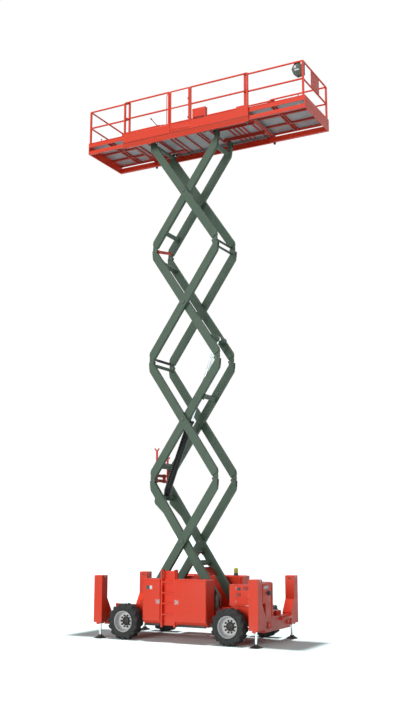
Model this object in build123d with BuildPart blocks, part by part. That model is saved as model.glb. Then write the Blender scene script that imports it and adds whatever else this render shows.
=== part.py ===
from build123d import *
from math import asin, atan2, cos, hypot, sin, sqrt
import os

# Rough-terrain scissor lift, mast raised, standing on its wheels and outriggers.
# Millimetres. +X towards the steered end, -Y the ladder side, +Z up.
# The origin is on the ground under the middle of the extended platform.

os.makedirs("parts", exist_ok=True)

# ---- driving dimensions: chassis -------------------------------------------------
chassis_x = -255          # middle of the wheelbase
wheelbase = 2800
track = 1956              # between the tyres' middle planes
tyre_r = 420
tyre_width = 300
rim_r = 246               # where the tyre sits on the rim
hub_r = 95
spindle_r = 40
axle_z = tyre_r
kingpin_y = 860
kingpin_r = 25

rail_y = (330, 580)       # inner and outer face of a main rail
rail_z = (460, 700)
rail_end = 2000           # half length of the main rails
shoe_track_y = 455        # the left half of a rail is low inside this
low_rail_z = 600
guide_z = 790             # top of the guides beside the shoes
belly_z = (400, 440)

post_x = (1970, 2200)     # outrigger post, from the middle of the chassis
post_y = (930, 1170)
post_z = (375, 1480)
beam_x = (2000, 2170)
beam_z = (300, 600)
leg_y = 1035              # middle of a jack leg
leg_r = 30

tray_x = (-830, 870)
tray_y = (700, 1110)
tray_z = (370, 1430)
tray_wall = 25
far_cover_x = 930
door_z = (500, 1405)
ladder_x = (-360, 40)

# ---- driving dimensions: mast ----------------------------------------------------
levels = 4
pivot_span = 3464         # between the two end pivots of an arm
left_x = -975             # end pivots when raised, from the middle of the chassis
right_x = 772
bottom_z = 806            # lowest end pivots
level_rise = 2991         # height of one level when raised
folded_pitch = 210        # height of one level when folded
arm_depth = 200
arm_width = 100
outer_y = 509             # middle planes of the outer and inner arms
inner_y = 399
end_pin_r = 30
centre_pin_r = 40
running_gap = 0.3         # round a pin in its hole
lug_r = 42
tongue_half = 22
fork_half = (28, 50)      # a fork plate's two faces, from the arm's middle plane
dropped = {"a2": 20, "a3": 35, "a4": 80, "b4": 30}   # upper pivot further off the middle line

# ---- driving dimensions: platform ------------------------------------------------
top_pivot_z = bottom_z + levels * level_rise
deck_x = (-1780, 1935)
deck_half = 880
deck_z = top_pivot_z + 110          # walking surface of the fixed deck
floor_t = 15
top_rail_z = top_pivot_z + 1150     # middle of the top rail
mid_rail_z = top_pivot_z + 680
rail_tube = 45
left_end_x = -2930
right_end_x = 3440
end_post_inset = 50                 # corner posts, back from the end plate's face
ext_half = 825                      # outer face of an extension's side
channel_y = 833                     # inner face of the deck's side channel
toe_t = 10                          # toe plates, outside the channels
gate_x = (-346, 256)
gate_inset = 27                     # gate stiles, in from the edge of the opening
gate_r = 19

# ---- worked out --------------------------------------------------------------------
half_base = wheelbase / 2
raised = atan2(level_rise, right_x - left_x)       # tilt of the line of pivots
half_arm = pivot_span * cos(asin(folded_pitch / pivot_span)) / 2
pivot_off = folded_pitch / 2                       # end pivots off the middle line
mast_x = chassis_x + (left_x + right_x) / 2
half_depth = arm_depth / 2
half_width = arm_width / 2


def slab(x, y, z, mode=Mode.ADD):
    """A block between two x, two y and two z values, in the open part."""
    middle = [(pair[0] + pair[1]) / 2 for pair in (x, y, z)]
    size = [abs(pair[1] - pair[0]) for pair in (x, y, z)]
    with Locations(tuple(middle)):
        Box(*size, mode=mode)


def across(pair, side):
    """A pair of distances from the middle plane, on the side -1 or 1."""
    return tuple(sorted((side * pair[0], side * pair[1])))


def along(pair, direction=1):
    """Two distances from the middle of the chassis, as x values."""
    return tuple(sorted((chassis_x + direction * pair[0], chassis_x + direction * pair[1])))


def bar(start, end, radius, mode=Mode.ADD):
    """A round bar between two points, in the open part."""
    axis = Vector(*end) - Vector(*start)
    with BuildSketch(Plane(origin=start, z_dir=axis)) as section:
        Circle(radius)
    extrude(section.sketch, amount=axis.length, mode=mode)


def save(part, name):
    part.label = name
    export_step(part, f"parts/{name}.step")


# ---- chassis -------------------------------------------------------------------------
with BuildPart() as chassis_frame:
    for side in (-1, 1):
        slab(along((-rail_end, 0)), across((shoe_track_y, rail_y[1]), side), rail_z)
        slab(along((-rail_end, 0)), across((rail_y[0], shoe_track_y), side), (rail_z[0], low_rail_z))
        slab(along((0, rail_end)), across(rail_y, side), rail_z)
        # guides beside the sliding shoes: outside the left pair, inside the right pair
        slab(along((-1950, -850)), across((568, 580), side), (rail_z[1], guide_z))
        slab(along((650, 1850)), across((330, 342), side), (rail_z[1], guide_z))
        for x in (-600, 0, 650):
            slab(along((x - 60, x + 60)), across((rail_y[1], tray_y[0]), side), (500, 640))
    for x in (-1700, 1900):
        slab(along((x - 50, x + 50)), (-rail_y[0], rail_y[0]), rail_z)
    slab(along((-1750, 1950)), (-rail_y[0] - 20, rail_y[0] + 20), belly_z)
    for side in (-1, 1):
        slab(along((-1750, 1950)), across((rail_y[0], rail_y[0] + 20), side), (belly_z[1], rail_z[0]))
save(chassis_frame.part, "chassis_frame")

post_outline = [
    (post_y[0], post_z[1]), (post_y[1], post_z[1]), (post_y[1], post_z[0]),
    (740, post_z[0]), (740, 640), (post_y[0], 945),
]
for end, end_name in ((-1, "left"), (1, "right")):
    with BuildPart() as outriggers:
        slab(along(beam_x, end), (-745, 745), beam_z)
        for side in (-1, 1):
            with BuildSketch(Plane.YZ.offset(along(post_x, end)[0])):
                with BuildLine():
                    Polyline(*[(side * y, z) for y, z in post_outline], close=True)
                make_face()
            extrude(amount=post_x[1] - post_x[0])
            # well for the jack leg, open below
            slab(along((2010, 2160), end), across((leg_y - 75, leg_y + 75), side),
                 (post_z[0], 1440), Mode.SUBTRACT)
            # lifting hole through the head of the post
            bar((chassis_x + end * 1960, side * leg_y, 1455), (chassis_x + end * 2210, side * leg_y, 1455),
                12, Mode.SUBTRACT)
        if end == 1:
            tube_x = chassis_x + 2205
            bar((tube_x, 130, 540), (tube_x, 740, 540), 35)
    save(outriggers.part, f"{end_name}_outrigger_beam")

    for side, side_name in ((-1, "near"), (1, "far")):
        x = chassis_x + end * (post_x[0] + post_x[1]) / 2
        with BuildPart() as jack:
            with BuildSketch(Plane.XZ.offset(-side * leg_y)):
                with BuildLine():
                    Polyline((x, 0), (x + 140, 0), (x + 140, 18), (x + 105, 26), (x + 45, 80),
                             (x + leg_r, 80), (x + leg_r, 900), (x + 65, 900), (x + 65, 960),
                             (x, 960), close=True)
                make_face()
            revolve(axis=Axis((x, side * leg_y, 0), (0, 0, 1)))
        save(jack.part, f"{end_name}_{side_name}_jack")

# ---- trays and their doors ---------------------------------------------------------------
tray_outline = [
    (tray_y[0], tray_z[0]), (1000, tray_z[0]), (tray_y[1], 480),
    (tray_y[1], tray_z[1]), (tray_y[0], tray_z[1]),
]
for side, side_name in ((-1, "near"), (1, "far")):
    with BuildPart() as tray:
        with BuildSketch(Plane.YZ.offset(chassis_x + tray_x[0])):
            with BuildLine():
                Polyline(*[(side * y, z) for y, z in tray_outline], close=True)
            make_face()
        extrude(amount=tray_x[1] - tray_x[0])
        if side == -1:
            bays = [(tray_x[0] + tray_wall, ladder_x[0] - tray_wall),
                    (ladder_x[1] + tray_wall, tray_x[1] - tray_wall)]
            slab(along(ladder_x), across((1010, 1120), side), (300, 1500), Mode.SUBTRACT)
        else:
            bays = [(tray_x[0] + tray_wall, tray_x[1] - tray_wall)]
        for bay in bays:
            slab(along(bay), across((tray_y[0] + tray_wall, 1120), side), door_z, Mode.SUBTRACT)
        if side == 1:
            # cover over the engine, reaching out past the tray's end
            slab(along((-450, far_cover_x)), (740, 1105), (tray_z[1], tray_z[1] + 20))
            slab(along((tray_x[1], far_cover_x)), (740, 1105), (1000, tray_z[1]))
    save(tray.part, f"{side_name}_tray")

doors = [   # name, side, hinged edge, free edge
    ("near_left_door", -1, tray_x[0] + 5, ladder_x[0] - 5),
    ("near_right_door", -1, tray_x[1] - 5, ladder_x[1] + 5),
    ("far_left_door", 1, tray_x[0] + 5, 17),
    ("far_right_door", 1, tray_x[1] - 5, 23),
]
for name, side, hinge, free in doors:
    with BuildPart() as door:
        slab(along((hinge, free)), across((tray_y[1] + 2, tray_y[1] + 20), side),
             (door_z[0] - 15, door_z[1] + 15))
    save(door.part, name)

with BuildPart() as entry_ladder:
    for x in (ladder_x[0] + 25, ladder_x[1] - 25):
        slab(along((x - 20, x + 20)), (-1100, -1060), (340, 1640))
        bar((chassis_x + x, -1080, 1640), (chassis_x + x, -960, 1640), 20)
        bar((chassis_x + x, -960, 1640), (chassis_x + x, -960, 1430), 20)
    for z in (630, 880, 1120, 1370):
        slab(along((ladder_x[0] + 25, ladder_x[1] - 25)), (-1100, -1065), (z - 15, z + 15))
    slab(along((ladder_x[0] + 5, ladder_x[1] - 5)), (-970, -950), (tray_z[1], 1625))
save(entry_ladder.part, "entry_ladder")

with BuildPart() as engine_block:
    slab(along((-450, 450)), (770, 1050), (door_z[0], 1200))
save(engine_block.part, "engine_block")

with BuildPart() as wheel_hoods:
    for side, hood_end in ((-1, 1960), (1, 1700)):
        slab(along((1260, hood_end)), across((605, tray_y[0]), side), (860, 1340))
        slab(along((1260, hood_end - 70)), across((rail_y[1], 605), side), (520, 1340))
save(wheel_hoods.part, "wheel_hoods")

with BuildPart() as end_cabinet:
    slab(along((2005, 2195)), (-925, -345), (950, 1390))
    slab(along((2005, 2195)), (-735, -345), (beam_z[1], 950))
save(end_cabinet.part, "end_cabinet")

# ---- axles, knuckles and wheels -----------------------------------------------------------
with BuildPart() as fixed_axle:
    slab(along((-half_base - 60, -half_base + 60)), (-790, 790), (340, belly_z[0]))
    for side in (-1, 1):
        slab(along((-half_base - 60, -half_base + 60)), across((355, rail_y[1]), side),
             (belly_z[0], rail_z[0]))
        slab(along((-half_base - 60, -half_base + 60)), across((750, 790), side), (340, 500))
        bar((chassis_x - half_base, side * 790, axle_z), (chassis_x - half_base, side * 1000, axle_z),
            spindle_r)
save(fixed_axle.part, "fixed_axle")

with BuildPart() as steer_axle:
    x = chassis_x + half_base
    slab((x - 60, x + 60), (-790, 790), (340, belly_z[0]))
    for side in (-1, 1):
        slab((x - 60, x + 60), across((355, rail_y[1]), side), (belly_z[0], rail_z[0]))
        slab((x - 45, x + 45), across((750, 800), side), (300, 540))
        for z in (300, 510):
            slab((x - 45, x + 45), across((790, kingpin_y + 35), side), (z, z + 30))
            bar((x, side * kingpin_y, z - 1), (x, side * kingpin_y, z + 31),
                kingpin_r + running_gap, Mode.SUBTRACT)
save(steer_axle.part, "steer_axle")

for side, side_name in ((-1, "near"), (1, "far")):
    x = chassis_x + half_base
    with BuildPart() as knuckle:
        bar((x, side * kingpin_y, 302), (x, side * kingpin_y, 538), kingpin_r)
        slab((x - 40, x + 40), across((815, kingpin_y + 40), side), (340, 500))
        bar((x, side * 890, axle_z), (x, side * 1000, axle_z), spindle_r)
        slab((x - 180, x - 30), across((850, 885), side), (440, 470))
    save(knuckle.part, f"{side_name}_knuckle")

half_tyre = tyre_width / 2
for end, end_name in ((-1, "left"), (1, "right")):
    for side, side_name in ((-1, "near"), (1, "far")):
        x = chassis_x + end * half_base
        y = side * track / 2
        spin = Axis((x, y, axle_z), (0, 1, 0))
        tyre_plane = Plane(origin=(x, y, axle_z), x_dir=(0, side, 0), z_dir=(1, 0, 0))
        # sketch across the wheel: first value outwards along the spindle, second the radius
        with BuildPart() as tyre:
            with BuildSketch(tyre_plane):
                with BuildLine():
                    crown = [(half_tyre - 32, tyre_r), (half_tyre - 8, tyre_r - 28),
                             (half_tyre, tyre_r - 80), (half_tyre - 22, rim_r)]
                    Polyline(*crown, *[(-a, b) for a, b in reversed(crown)], close=True)
                make_face()
            revolve(axis=spin)
        save(tyre.part, f"{end_name}_{side_name}_tyre")
        with BuildPart() as rim:
            with BuildSketch(tyre_plane):
                with BuildLine():
                    Polyline((-125, rim_r), (125, rim_r), (125, rim_r - 18), (70, rim_r - 34),
                             (40, rim_r - 40), (20, 150), (20, hub_r), (75, hub_r),
                             (75, 0), (30, 0), (30, spindle_r + running_gap), (-20, spindle_r + running_gap),
                             (-20, hub_r), (0, hub_r), (0, 165), (15, rim_r - 50),
                             (-60, rim_r - 46), (-125, rim_r - 18), close=True)
                make_face()
            revolve(axis=spin)
        save(rim.part, f"{end_name}_{side_name}_rim")

# ---- mast ---------------------------------------------------------------------------------
end_cuts = {"a4": (320, -20)}    # outer corner of an upper end: back from the pivot, depth left
plain_cut = (160, 60)
body_back = 75               # the full-width arm stops short of the end pivot
tip_ahead = 45               # a fork or tongue reaches past the pivot


def arm_frame(level, kind):
    """Tilt of an arm, half its length, the offset of its upper pivot and of its centre pin."""
    upper = pivot_off + dropped.get(f"{kind}{level}", 0)
    spread = pivot_off + upper
    half = sqrt(pivot_span ** 2 - spread ** 2) / 2
    return raised - asin(spread / pivot_span), half, upper, (upper - pivot_off) / 2


def arm_point(level, kind, u, v):
    """World x and z of a point u along and v across an arm."""
    direction = 1 if kind == "a" else -1
    tilt, half, upper, centre_v = arm_frame(level, kind)
    z = bottom_z + (level - 0.5) * level_rise
    across_v = v - centre_v
    return (mast_x + direction * (u * cos(tilt) - across_v * sin(tilt)),
            z + u * sin(tilt) + across_v * cos(tilt))


def arm_plane(level, kind, y):
    """Sketch plane of one arm: x along it, y across it."""
    direction = 1 if kind == "a" else -1
    tilt = arm_frame(level, kind)[0]
    x, z = arm_point(level, kind, 0, 0)
    return Plane(origin=(x, y, z), x_dir=(direction * cos(tilt), 0, sin(tilt)),
                 z_dir=(0, -direction, 0))


def arm_strip(plane, outline, half):
    """A flat plate of an arm, both sides of the sketch plane."""
    with BuildSketch(plane) as section:
        with BuildLine():
            Polyline(*outline, close=True)
        make_face()
    extrude(section.sketch, amount=half, both=True)


def arm_disc(plane, u, v, radius, half, mode=Mode.ADD):
    with BuildSketch(plane) as section:
        with Locations((u, v)):
            Circle(radius)
    extrude(section.sketch, amount=half, both=True, mode=mode)


def arm_pair(level, kind, outer):
    """Two parallel arms: tongues at the bottom, forks with their pins at the top."""
    middle = outer_y if outer else inner_y
    half, upper, centre_v = arm_frame(level, kind)[1:]
    body_end = half - body_back
    ends = []
    for offset, (corner_back, edge) in ((pivot_off, plain_cut),
                                        (upper, end_cuts.get(f"{kind}{level}", plain_cut))):
        corner = half - corner_back
        ends.append([(corner, half_depth), (corner, -half_depth), (body_end, -edge),
                     (half + tip_ahead, 70 - edge), (half + lug_r, offset), (half - lug_r, offset),
                     (half - lug_r - (offset - half_depth + 5), half_depth)])
    bottom_end = [(-u, -v) for u, v in ends[0]]
    top_end = ends[1]
    body = [(-body_end, -half_depth), bottom_end[2], bottom_end[1],
            (body_end, half_depth), top_end[2], top_end[1]]
    for side in (-1, 1):
        plane = arm_plane(level, kind, side * middle)
        arm_strip(plane, body, half_width)
        arm_strip(plane, bottom_end, tongue_half)
        arm_disc(plane, -half, -pivot_off, lug_r, tongue_half)
        arm_disc(plane, -half, -pivot_off, end_pin_r + running_gap, tongue_half + 1, Mode.SUBTRACT)
        for face in (-1, 1):
            plate_y = side * middle + face * (fork_half[0] + fork_half[1]) / 2
            plate = arm_plane(level, kind, plate_y)
            arm_strip(plate, top_end, (fork_half[1] - fork_half[0]) / 2)
            arm_disc(plate, half, upper, lug_r, (fork_half[1] - fork_half[0]) / 2)
        arm_disc(plane, half, upper, end_pin_r, half_width)
        if outer:
            arm_disc(plane, 0, centre_v, centre_pin_r + running_gap, half_width + 1, Mode.SUBTRACT)
        else:
            x, z = arm_point(level, kind, 0, centre_v)
            head_y = outer_y + half_width + 14
            bar((x, side * (middle - half_width), z), (x, side * head_y, z), centre_pin_r)
            bar((x, side * (head_y - 9), z), (x, side * head_y, z), 62)


def spreader(level, kind, u, v, depth, width, reach):
    """A rectangular cross beam from one arm to the other."""
    plane = arm_plane(level, kind, 0)
    with BuildSketch(plane) as section:
        with Locations((u, v)):
            Rectangle(width, depth)
    extrude(section.sketch, amount=reach, both=True)


def cross_tube(level, kind, u, v, radius, reach):
    arm_disc(arm_plane(level, kind, 0), u, v, radius, reach)


inner_reach = inner_y - half_width + 10
outer_reach = outer_y - half_width + 10
spreaders = {   # arm pair: u, v, depth, width of each cross beam
    "b1": [(-260, -40, 80, 100), (-590, -40, 80, 100)],
    "a2": [(-1360, 10, 110, 110), (736, -68, 64, 110)],
    "b3": [(1330, 30, 110, 110)],
    "a4": [(-1208, 0, 110, 110), (1423, 0, 110, 110)],
}
outer_tubes = {   # arm pair: u, v and radius of each round cross tube
    "a1": [(-half_arm + 70, -66, 30)],
    "b2": [(half_arm - 70, 66, 42)],
    "a3": [(half_arm - 70, 66, 30), (-half_arm + 70, -66, 30)],
    "b4": [(half_arm - 70, 66, 46), (-half_arm + 70, -66, 30)],
}
cylinder_foot = (1332, -50)     # on the arms b1
cylinder_head = (-1190, 80)     # on the arms b3
eye_half = 45                   # half width of a cylinder eye
cheek_y = (52, 77)              # the lug plates either side of an eye
cylinder_pin_r = 32
head_reach = 342                # outer end of the stub tubes round the cylinder's head

for level in range(1, levels + 1):
    for kind in ("a", "b"):
        name = f"{kind}{level}"
        outer = (kind == "a") == (level % 2 == 1)
        with BuildPart() as arms:
            arm_pair(level, kind, outer)
            for u, v, depth, width in spreaders.get(name, []):
                spreader(level, kind, u, v, depth, width, inner_reach)
            for u, v, radius in outer_tubes.get(name, []):
                cross_tube(level, kind, u, v, radius, outer_reach)
            if name == "b1":
                # foot of the lift cylinder: a cross pin, its cheeks and the gussets below the arms
                cross_tube(level, kind, *cylinder_foot, cylinder_pin_r, inner_reach)
                for side in (-1, 1):
                    plane = arm_plane(level, kind, side * (cheek_y[1] + 140))
                    arm_disc(plane, *cylinder_foot, 75, 140)
                    gusset = [(1400, -half_depth + 5), (1290, -192), (1230, -204), (760, -half_depth + 5)]
                    arm_strip(arm_plane(level, kind, side * (inner_y - 25)), gusset, 12)
            if name == "b3":
                # head of the lift cylinder: stub tubes and cheeks, open between for the rod's eye
                for side in (-1, 1):
                    plane = arm_plane(level, kind, side * (cheek_y[0] + head_reach) / 2)
                    arm_disc(plane, *cylinder_head, 75, (head_reach - cheek_y[0]) / 2)
                    plane = arm_plane(level, kind, side * (cheek_y[0] + inner_reach) / 2)
                    block = ((-75, -35), (75, -35), (75, 95), (-75, 95))
                    outline = [(cylinder_head[0] + u, v) for u, v in block]
                    arm_strip(plane, outline, (inner_reach - cheek_y[0]) / 2)
        save(arms.part, f"arms_{name}")

# sliding shoes: the bottom pair stand on the chassis rails, the top pair run under the deck
shoes = [   # name, x of the pivots, middle plane, pivot height, -1 at the bottom or 1 at the top
    ("bottom_left_shoes", left_x, outer_y, bottom_z, -1),
    ("bottom_right_shoes", right_x, inner_y, bottom_z, -1),
    ("top_left_shoes", left_x, outer_y, top_pivot_z, 1),
    ("top_right_shoes", right_x, inner_y, top_pivot_z, 1),
]
for name, pivot_x, middle, pivot_z, place in shoes:
    x = chassis_x + pivot_x
    with BuildPart() as shoe:
        for side in (-1, 1):
            plane = Plane(origin=(x, side * middle, pivot_z), x_dir=(1, 0, 0), z_dir=(0, -1, 0))
            if place == -1:
                slab((x - 90, x + 90), across((middle - 46, middle + 46), side), (rail_z[1] + 1, 755))
                for face in (-1, 1):
                    ear_y = side * middle + face * (fork_half[0] + fork_half[1]) / 2
                    ear = Plane(origin=(x, ear_y, pivot_z), x_dir=(1, 0, 0), z_dir=(0, -1, 0))
                    arm_strip(ear, [(-50, -60), (50, -60), (lug_r, 0), (-lug_r, 0)], 11)
                    arm_disc(ear, 0, 0, lug_r, 11)
                arm_disc(plane, 0, 0, end_pin_r, half_width)
            else:
                slab((x - 90, x + 90), across((middle - 46, middle + 46), side),
                     (pivot_z + 43, pivot_z + 54))
                arm_strip(plane, [(-40, 50), (40, 50), (38, 0), (-38, 0)], tongue_half)
                arm_disc(plane, 0, 0, 38, tongue_half)
                arm_disc(plane, 0, 0, end_pin_r + running_gap, tongue_half + 1, Mode.SUBTRACT)
    save(shoe.part, name)

with BuildPart() as safety_prop:
    # maintenance prop parked upright beside the first left joint
    joint_x, joint_z = arm_point(1, "b", half_arm, pivot_off)
    for y, top in ((-270, 810), (270, 620)):
        bar((joint_x - 10, y, joint_z - 60), (joint_x - 10, y, joint_z + top - 60), 26)
        for lean in (-1, 1):
            bar((joint_x - 10, y, joint_z + top - 80), (joint_x - 10 + lean * 60, y, joint_z + top), 18)
    bar((joint_x - 10, -349, joint_z), (joint_x - 10, 349, joint_z), 28)
    bar((joint_x - 10, -338, joint_z + 125), (joint_x - 10, 338, joint_z + 125), 28)
save(safety_prop.part, "safety_prop")

# ---- lift cylinder -----------------------------------------------------------------------
foot = arm_point(1, "b", *cylinder_foot)
head = arm_point(3, "b", *cylinder_head)
lift_length = hypot(head[0] - foot[0], head[1] - foot[1])
lift_dir = Vector(head[0] - foot[0], 0, head[1] - foot[1]).normalized()
lift_plane = Plane(origin=(foot[0], 0, foot[1]), x_dir=tuple(lift_dir), z_dir=(0, -1, 0))
barrel_end = 2056
barrel_r = 80
bore_r = 62
rod_r = 45
rod_start = 1850              # inner end of the rod when raised

with BuildPart() as lift_barrel:
    with BuildSketch(lift_plane):
        with BuildLine():
            Polyline((60, 0), (60, 60), (110, barrel_r), (barrel_end - 60, barrel_r),
                     (barrel_end - 60, barrel_r + 12), (barrel_end, barrel_r + 12),
                     (barrel_end, rod_r + 2), (barrel_end - 60, rod_r + 2), (barrel_end - 60, bore_r),
                     (150, bore_r), (150, 0), close=True)
        make_face()
    revolve(axis=Axis((foot[0], 0, foot[1]), tuple(lift_dir)))
    arm_disc(lift_plane, 0, 0, 72, eye_half)
    arm_disc(lift_plane, 0, 0, cylinder_pin_r + running_gap, eye_half + 20, Mode.SUBTRACT)
save(lift_barrel.part, "lift_barrel")

with BuildPart() as lift_rod:
    rod_line = [Vector(foot[0], 0, foot[1]) + lift_dir * s for s in (rod_start, lift_length - 50)]
    piston_end = Vector(foot[0], 0, foot[1]) + lift_dir * (rod_start + 70)
    bar(tuple(rod_line[0]), tuple(rod_line[1]), rod_r)
    bar(tuple(rod_line[0]), tuple(piston_end), bore_r - 2)
    arm_disc(lift_plane, lift_length, 0, 68, eye_half)
    arm_disc(lift_plane, lift_length, 0, cylinder_pin_r, eye_half + 1, Mode.SUBTRACT)
save(lift_rod.part, "lift_rod")

# ---- platform -------------------------------------------------------------------------------
frame_top = deck_z - floor_t
track_z = (top_pivot_z + 55, frame_top)
rib_z = (track_z[0] + 10, frame_top)
side_bottom = {-1: top_pivot_z - 150, 1: top_pivot_z - 55}     # deeper channel on the gate side
toe_z = (deck_z - 113, deck_z + 112)
half_tube = rail_tube / 2
ribs = [   # middle x and width of each cross rib below the fixed floor
    (-1745, 60), (-1600, 60), (-1300, 40), (-965, 30), (-895, 30), (-608, 30), (-478, 30), (-165, 40),
    (192, 30), (278, 30), (575, 40), (1040, 35), (1180, 35), (1308, 35), (1430, 35), (1720, 40), (1875, 110),
]

with BuildPart() as deck_frame:
    for side in (-1, 1):
        slab(along(deck_x), across((channel_y, deck_half - toe_t), side), (side_bottom[side], deck_z))
        # guides beside the sliding shoes
        slab(along((-1950 + 130, -850)), across((568, 580), side), (top_pivot_z, frame_top))
        slab(along((650, 1850)), across((330, 342), side), (top_pivot_z, frame_top))
        slab(along((-1780, -580)), across((450, 580), side), track_z)
        slab(along((700, 1930)), across((330, 460), side), track_z)
    for x, width in ribs:
        slab(along((x - width / 2, x + width / 2)), (-channel_y, channel_y), rib_z)
save(deck_frame.part, "deck_frame")

with BuildPart() as deck_floor:
    slab(along(deck_x), (2 - channel_y, channel_y - 2), (frame_top, deck_z))
save(deck_floor.part, "deck_floor")

near_posts = (-1736, gate_x[0] - 20, gate_x[1] + 20, 1909)
far_posts = (-1760, -560, 660, 1885)
box_x = (344, 724)
box_z = (toe_z[1] + 62, toe_z[1] + 290)
with BuildPart() as deck_rails:
    for side, posts in ((-1, near_posts), (1, far_posts)):
        y = side * (deck_half - half_tube)
        for x in posts:
            slab(along((x - half_tube, x + half_tube)), (y - half_tube, y + half_tube), (deck_z, top_rail_z))
        if side == -1:
            spans = [(posts[0], posts[1]), (posts[2], posts[3])]
        else:
            spans = [(posts[0], posts[-1])]
        for span in spans:
            for z in (mid_rail_z, top_rail_z):
                bar((chassis_x + span[0], y, z), (chassis_x + span[1], y, z), half_tube)
            ends = (span[0] - half_tube, span[1] + half_tube)
            slab(along(ends), across((deck_half - toe_t, deck_half), side), toe_z)
    # taller toe plate by the last post
    slab(along((1604, near_posts[3])), (-deck_half, toe_t - deck_half), (toe_z[1], toe_z[1] + 75))
    # box on two feet above the toe board beside the gate
    slab(along(box_x), (-deck_half, 110 - deck_half), box_z)
    for x in (box_x[0] + 15, box_x[1] - 15):
        slab(along((x - 15, x + 15)), (-deck_half, 60 - deck_half), (toe_z[1], box_z[0]))
save(deck_rails.part, "deck_rails")

with BuildPart() as gate:
    y = half_tube - deck_half
    stiles = (gate_x[0] + gate_inset, gate_x[1] - gate_inset)
    for x in stiles:
        bar((chassis_x + x, y, deck_z + 20), (chassis_x + x, y, top_rail_z), gate_r)
    for z in (toe_z[1] - gate_r, mid_rail_z, top_rail_z):
        bar((chassis_x + stiles[0], y, z), (chassis_x + stiles[1], y, z), gate_r)
    slab(along(stiles), (y - gate_r, y - gate_r + 6), (deck_z + 20, toe_z[1]))
save(gate.part, "gate")

extensions = [   # name, end x, inner end x, y of the long ribs, x of the pair of cross ribs
    ("left_extension", left_end_x, -1600, (-140, 350), (-2325, -2225)),
    ("right_extension", right_end_x, 1790, (-230, 320), (2525, 2600)),
]
ext_side_z = top_pivot_z - 78          # underside of the side channels
ext_toe_z = (deck_z + 6, deck_z + 130)
ext_rib_z = (deck_z + 10, deck_z + 55)
ext_floor_z = (ext_rib_z[1], ext_rib_z[1] + floor_t)
for name, end_x, inner_x, long_ribs, cross_ribs in extensions:
    outward = 1 if end_x > 0 else -1
    post_line = ext_half - half_tube
    corner_x = end_x - outward * end_post_inset
    with BuildPart() as extension:
        slab(along((end_x, end_x - outward * 25)), (-ext_half, ext_half), (ext_side_z, ext_toe_z[1]))
        for side, channel_top in ((-1, top_pivot_z + 10), (1, top_pivot_z + 58)):
            slab(along((end_x, inner_x)), across((ext_half - 70, ext_half), side), (ext_side_z, channel_top))
            slab(along((end_x, inner_x)), across((ext_half - 25, ext_half), side), ext_toe_z)
            # groove along the top of the toe board
            slab(along((end_x - outward * 40, inner_x)), across((ext_half - 18, ext_half + 1), side),
                 (ext_toe_z[1] - 42, ext_toe_z[1] - 6), Mode.SUBTRACT)
            for x in (corner_x, inner_x + outward * 25):
                slab(along((x - half_tube, x + half_tube)),
                     across((post_line - half_tube, post_line + half_tube), side), (ext_toe_z[0], top_rail_z))
            for z in (mid_rail_z, top_rail_z):
                bar((chassis_x + corner_x, side * post_line, z),
                    (chassis_x + inner_x + outward * 25, side * post_line, z), half_tube)
        for z in (mid_rail_z, top_rail_z):
            bar((chassis_x + corner_x, -post_line, z), (chassis_x + corner_x, post_line, z), half_tube)
        for x in (*cross_ribs, inner_x + outward * 60):
            slab(along((x - 20, x + 20)), (20 - ext_half, ext_half - 20), ext_rib_z)
        for y in long_ribs:
            slab(along((end_x, inner_x)), (y - 25, y + 25), ext_rib_z)
        slab(along((end_x, inner_x)), (-ext_half + 20, ext_half - 20), ext_floor_z)
        if outward == 1:
            # plate holding the papers, on the end rails
            slab(along((corner_x - 6, corner_x + 6)), (-265, 285), (mid_rail_z, top_rail_z))
    save(extension.part, name)

with BuildPart() as control_box:
    slab(along((3070, 3362)), (-778, -665), (mid_rail_z + 110, top_rail_z))
save(control_box.part, "control_box")
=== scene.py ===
import bpy
import math
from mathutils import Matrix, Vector


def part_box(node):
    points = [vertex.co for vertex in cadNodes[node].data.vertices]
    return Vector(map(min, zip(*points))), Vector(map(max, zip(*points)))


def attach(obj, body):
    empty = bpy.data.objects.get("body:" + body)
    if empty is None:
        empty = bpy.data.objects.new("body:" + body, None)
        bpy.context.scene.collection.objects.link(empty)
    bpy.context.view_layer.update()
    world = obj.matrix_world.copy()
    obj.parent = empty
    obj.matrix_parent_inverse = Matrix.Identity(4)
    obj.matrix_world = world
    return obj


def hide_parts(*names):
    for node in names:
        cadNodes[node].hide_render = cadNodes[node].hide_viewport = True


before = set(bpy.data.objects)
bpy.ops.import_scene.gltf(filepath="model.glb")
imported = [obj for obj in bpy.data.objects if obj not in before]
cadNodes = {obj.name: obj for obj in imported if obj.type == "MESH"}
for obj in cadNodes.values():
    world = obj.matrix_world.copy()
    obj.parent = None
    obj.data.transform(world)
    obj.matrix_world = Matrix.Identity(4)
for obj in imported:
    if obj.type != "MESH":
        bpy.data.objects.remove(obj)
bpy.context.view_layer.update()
print("frame loaded:", len(cadNodes), "nodes")


quarterTurn, halfTurn = math.pi / 2, math.pi
helperSetup = {"bevelAngle": 40, "shade": 35, "latheShade": 32, "weld": 0.00005}


def clearSelection():
    if bpy.context.object and bpy.context.object.mode != "OBJECT":
        bpy.ops.object.mode_set(mode="OBJECT")
    bpy.ops.object.select_all(action="DESELECT")


def pick(piece):
    clearSelection()
    piece.select_set(True)
    bpy.context.view_layer.objects.active = piece


def settle(piece):  # place goes into the mesh, object back to the origin
    pick(piece)
    bpy.ops.object.transform_apply(location=True, rotation=True, scale=True)
    return piece


def turned(piece, turn, place=(0, 0, 0)):  # a settled piece turned about the origin and put in its place
    piece.rotation_euler = turn
    piece.location = place
    return settle(piece)


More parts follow.
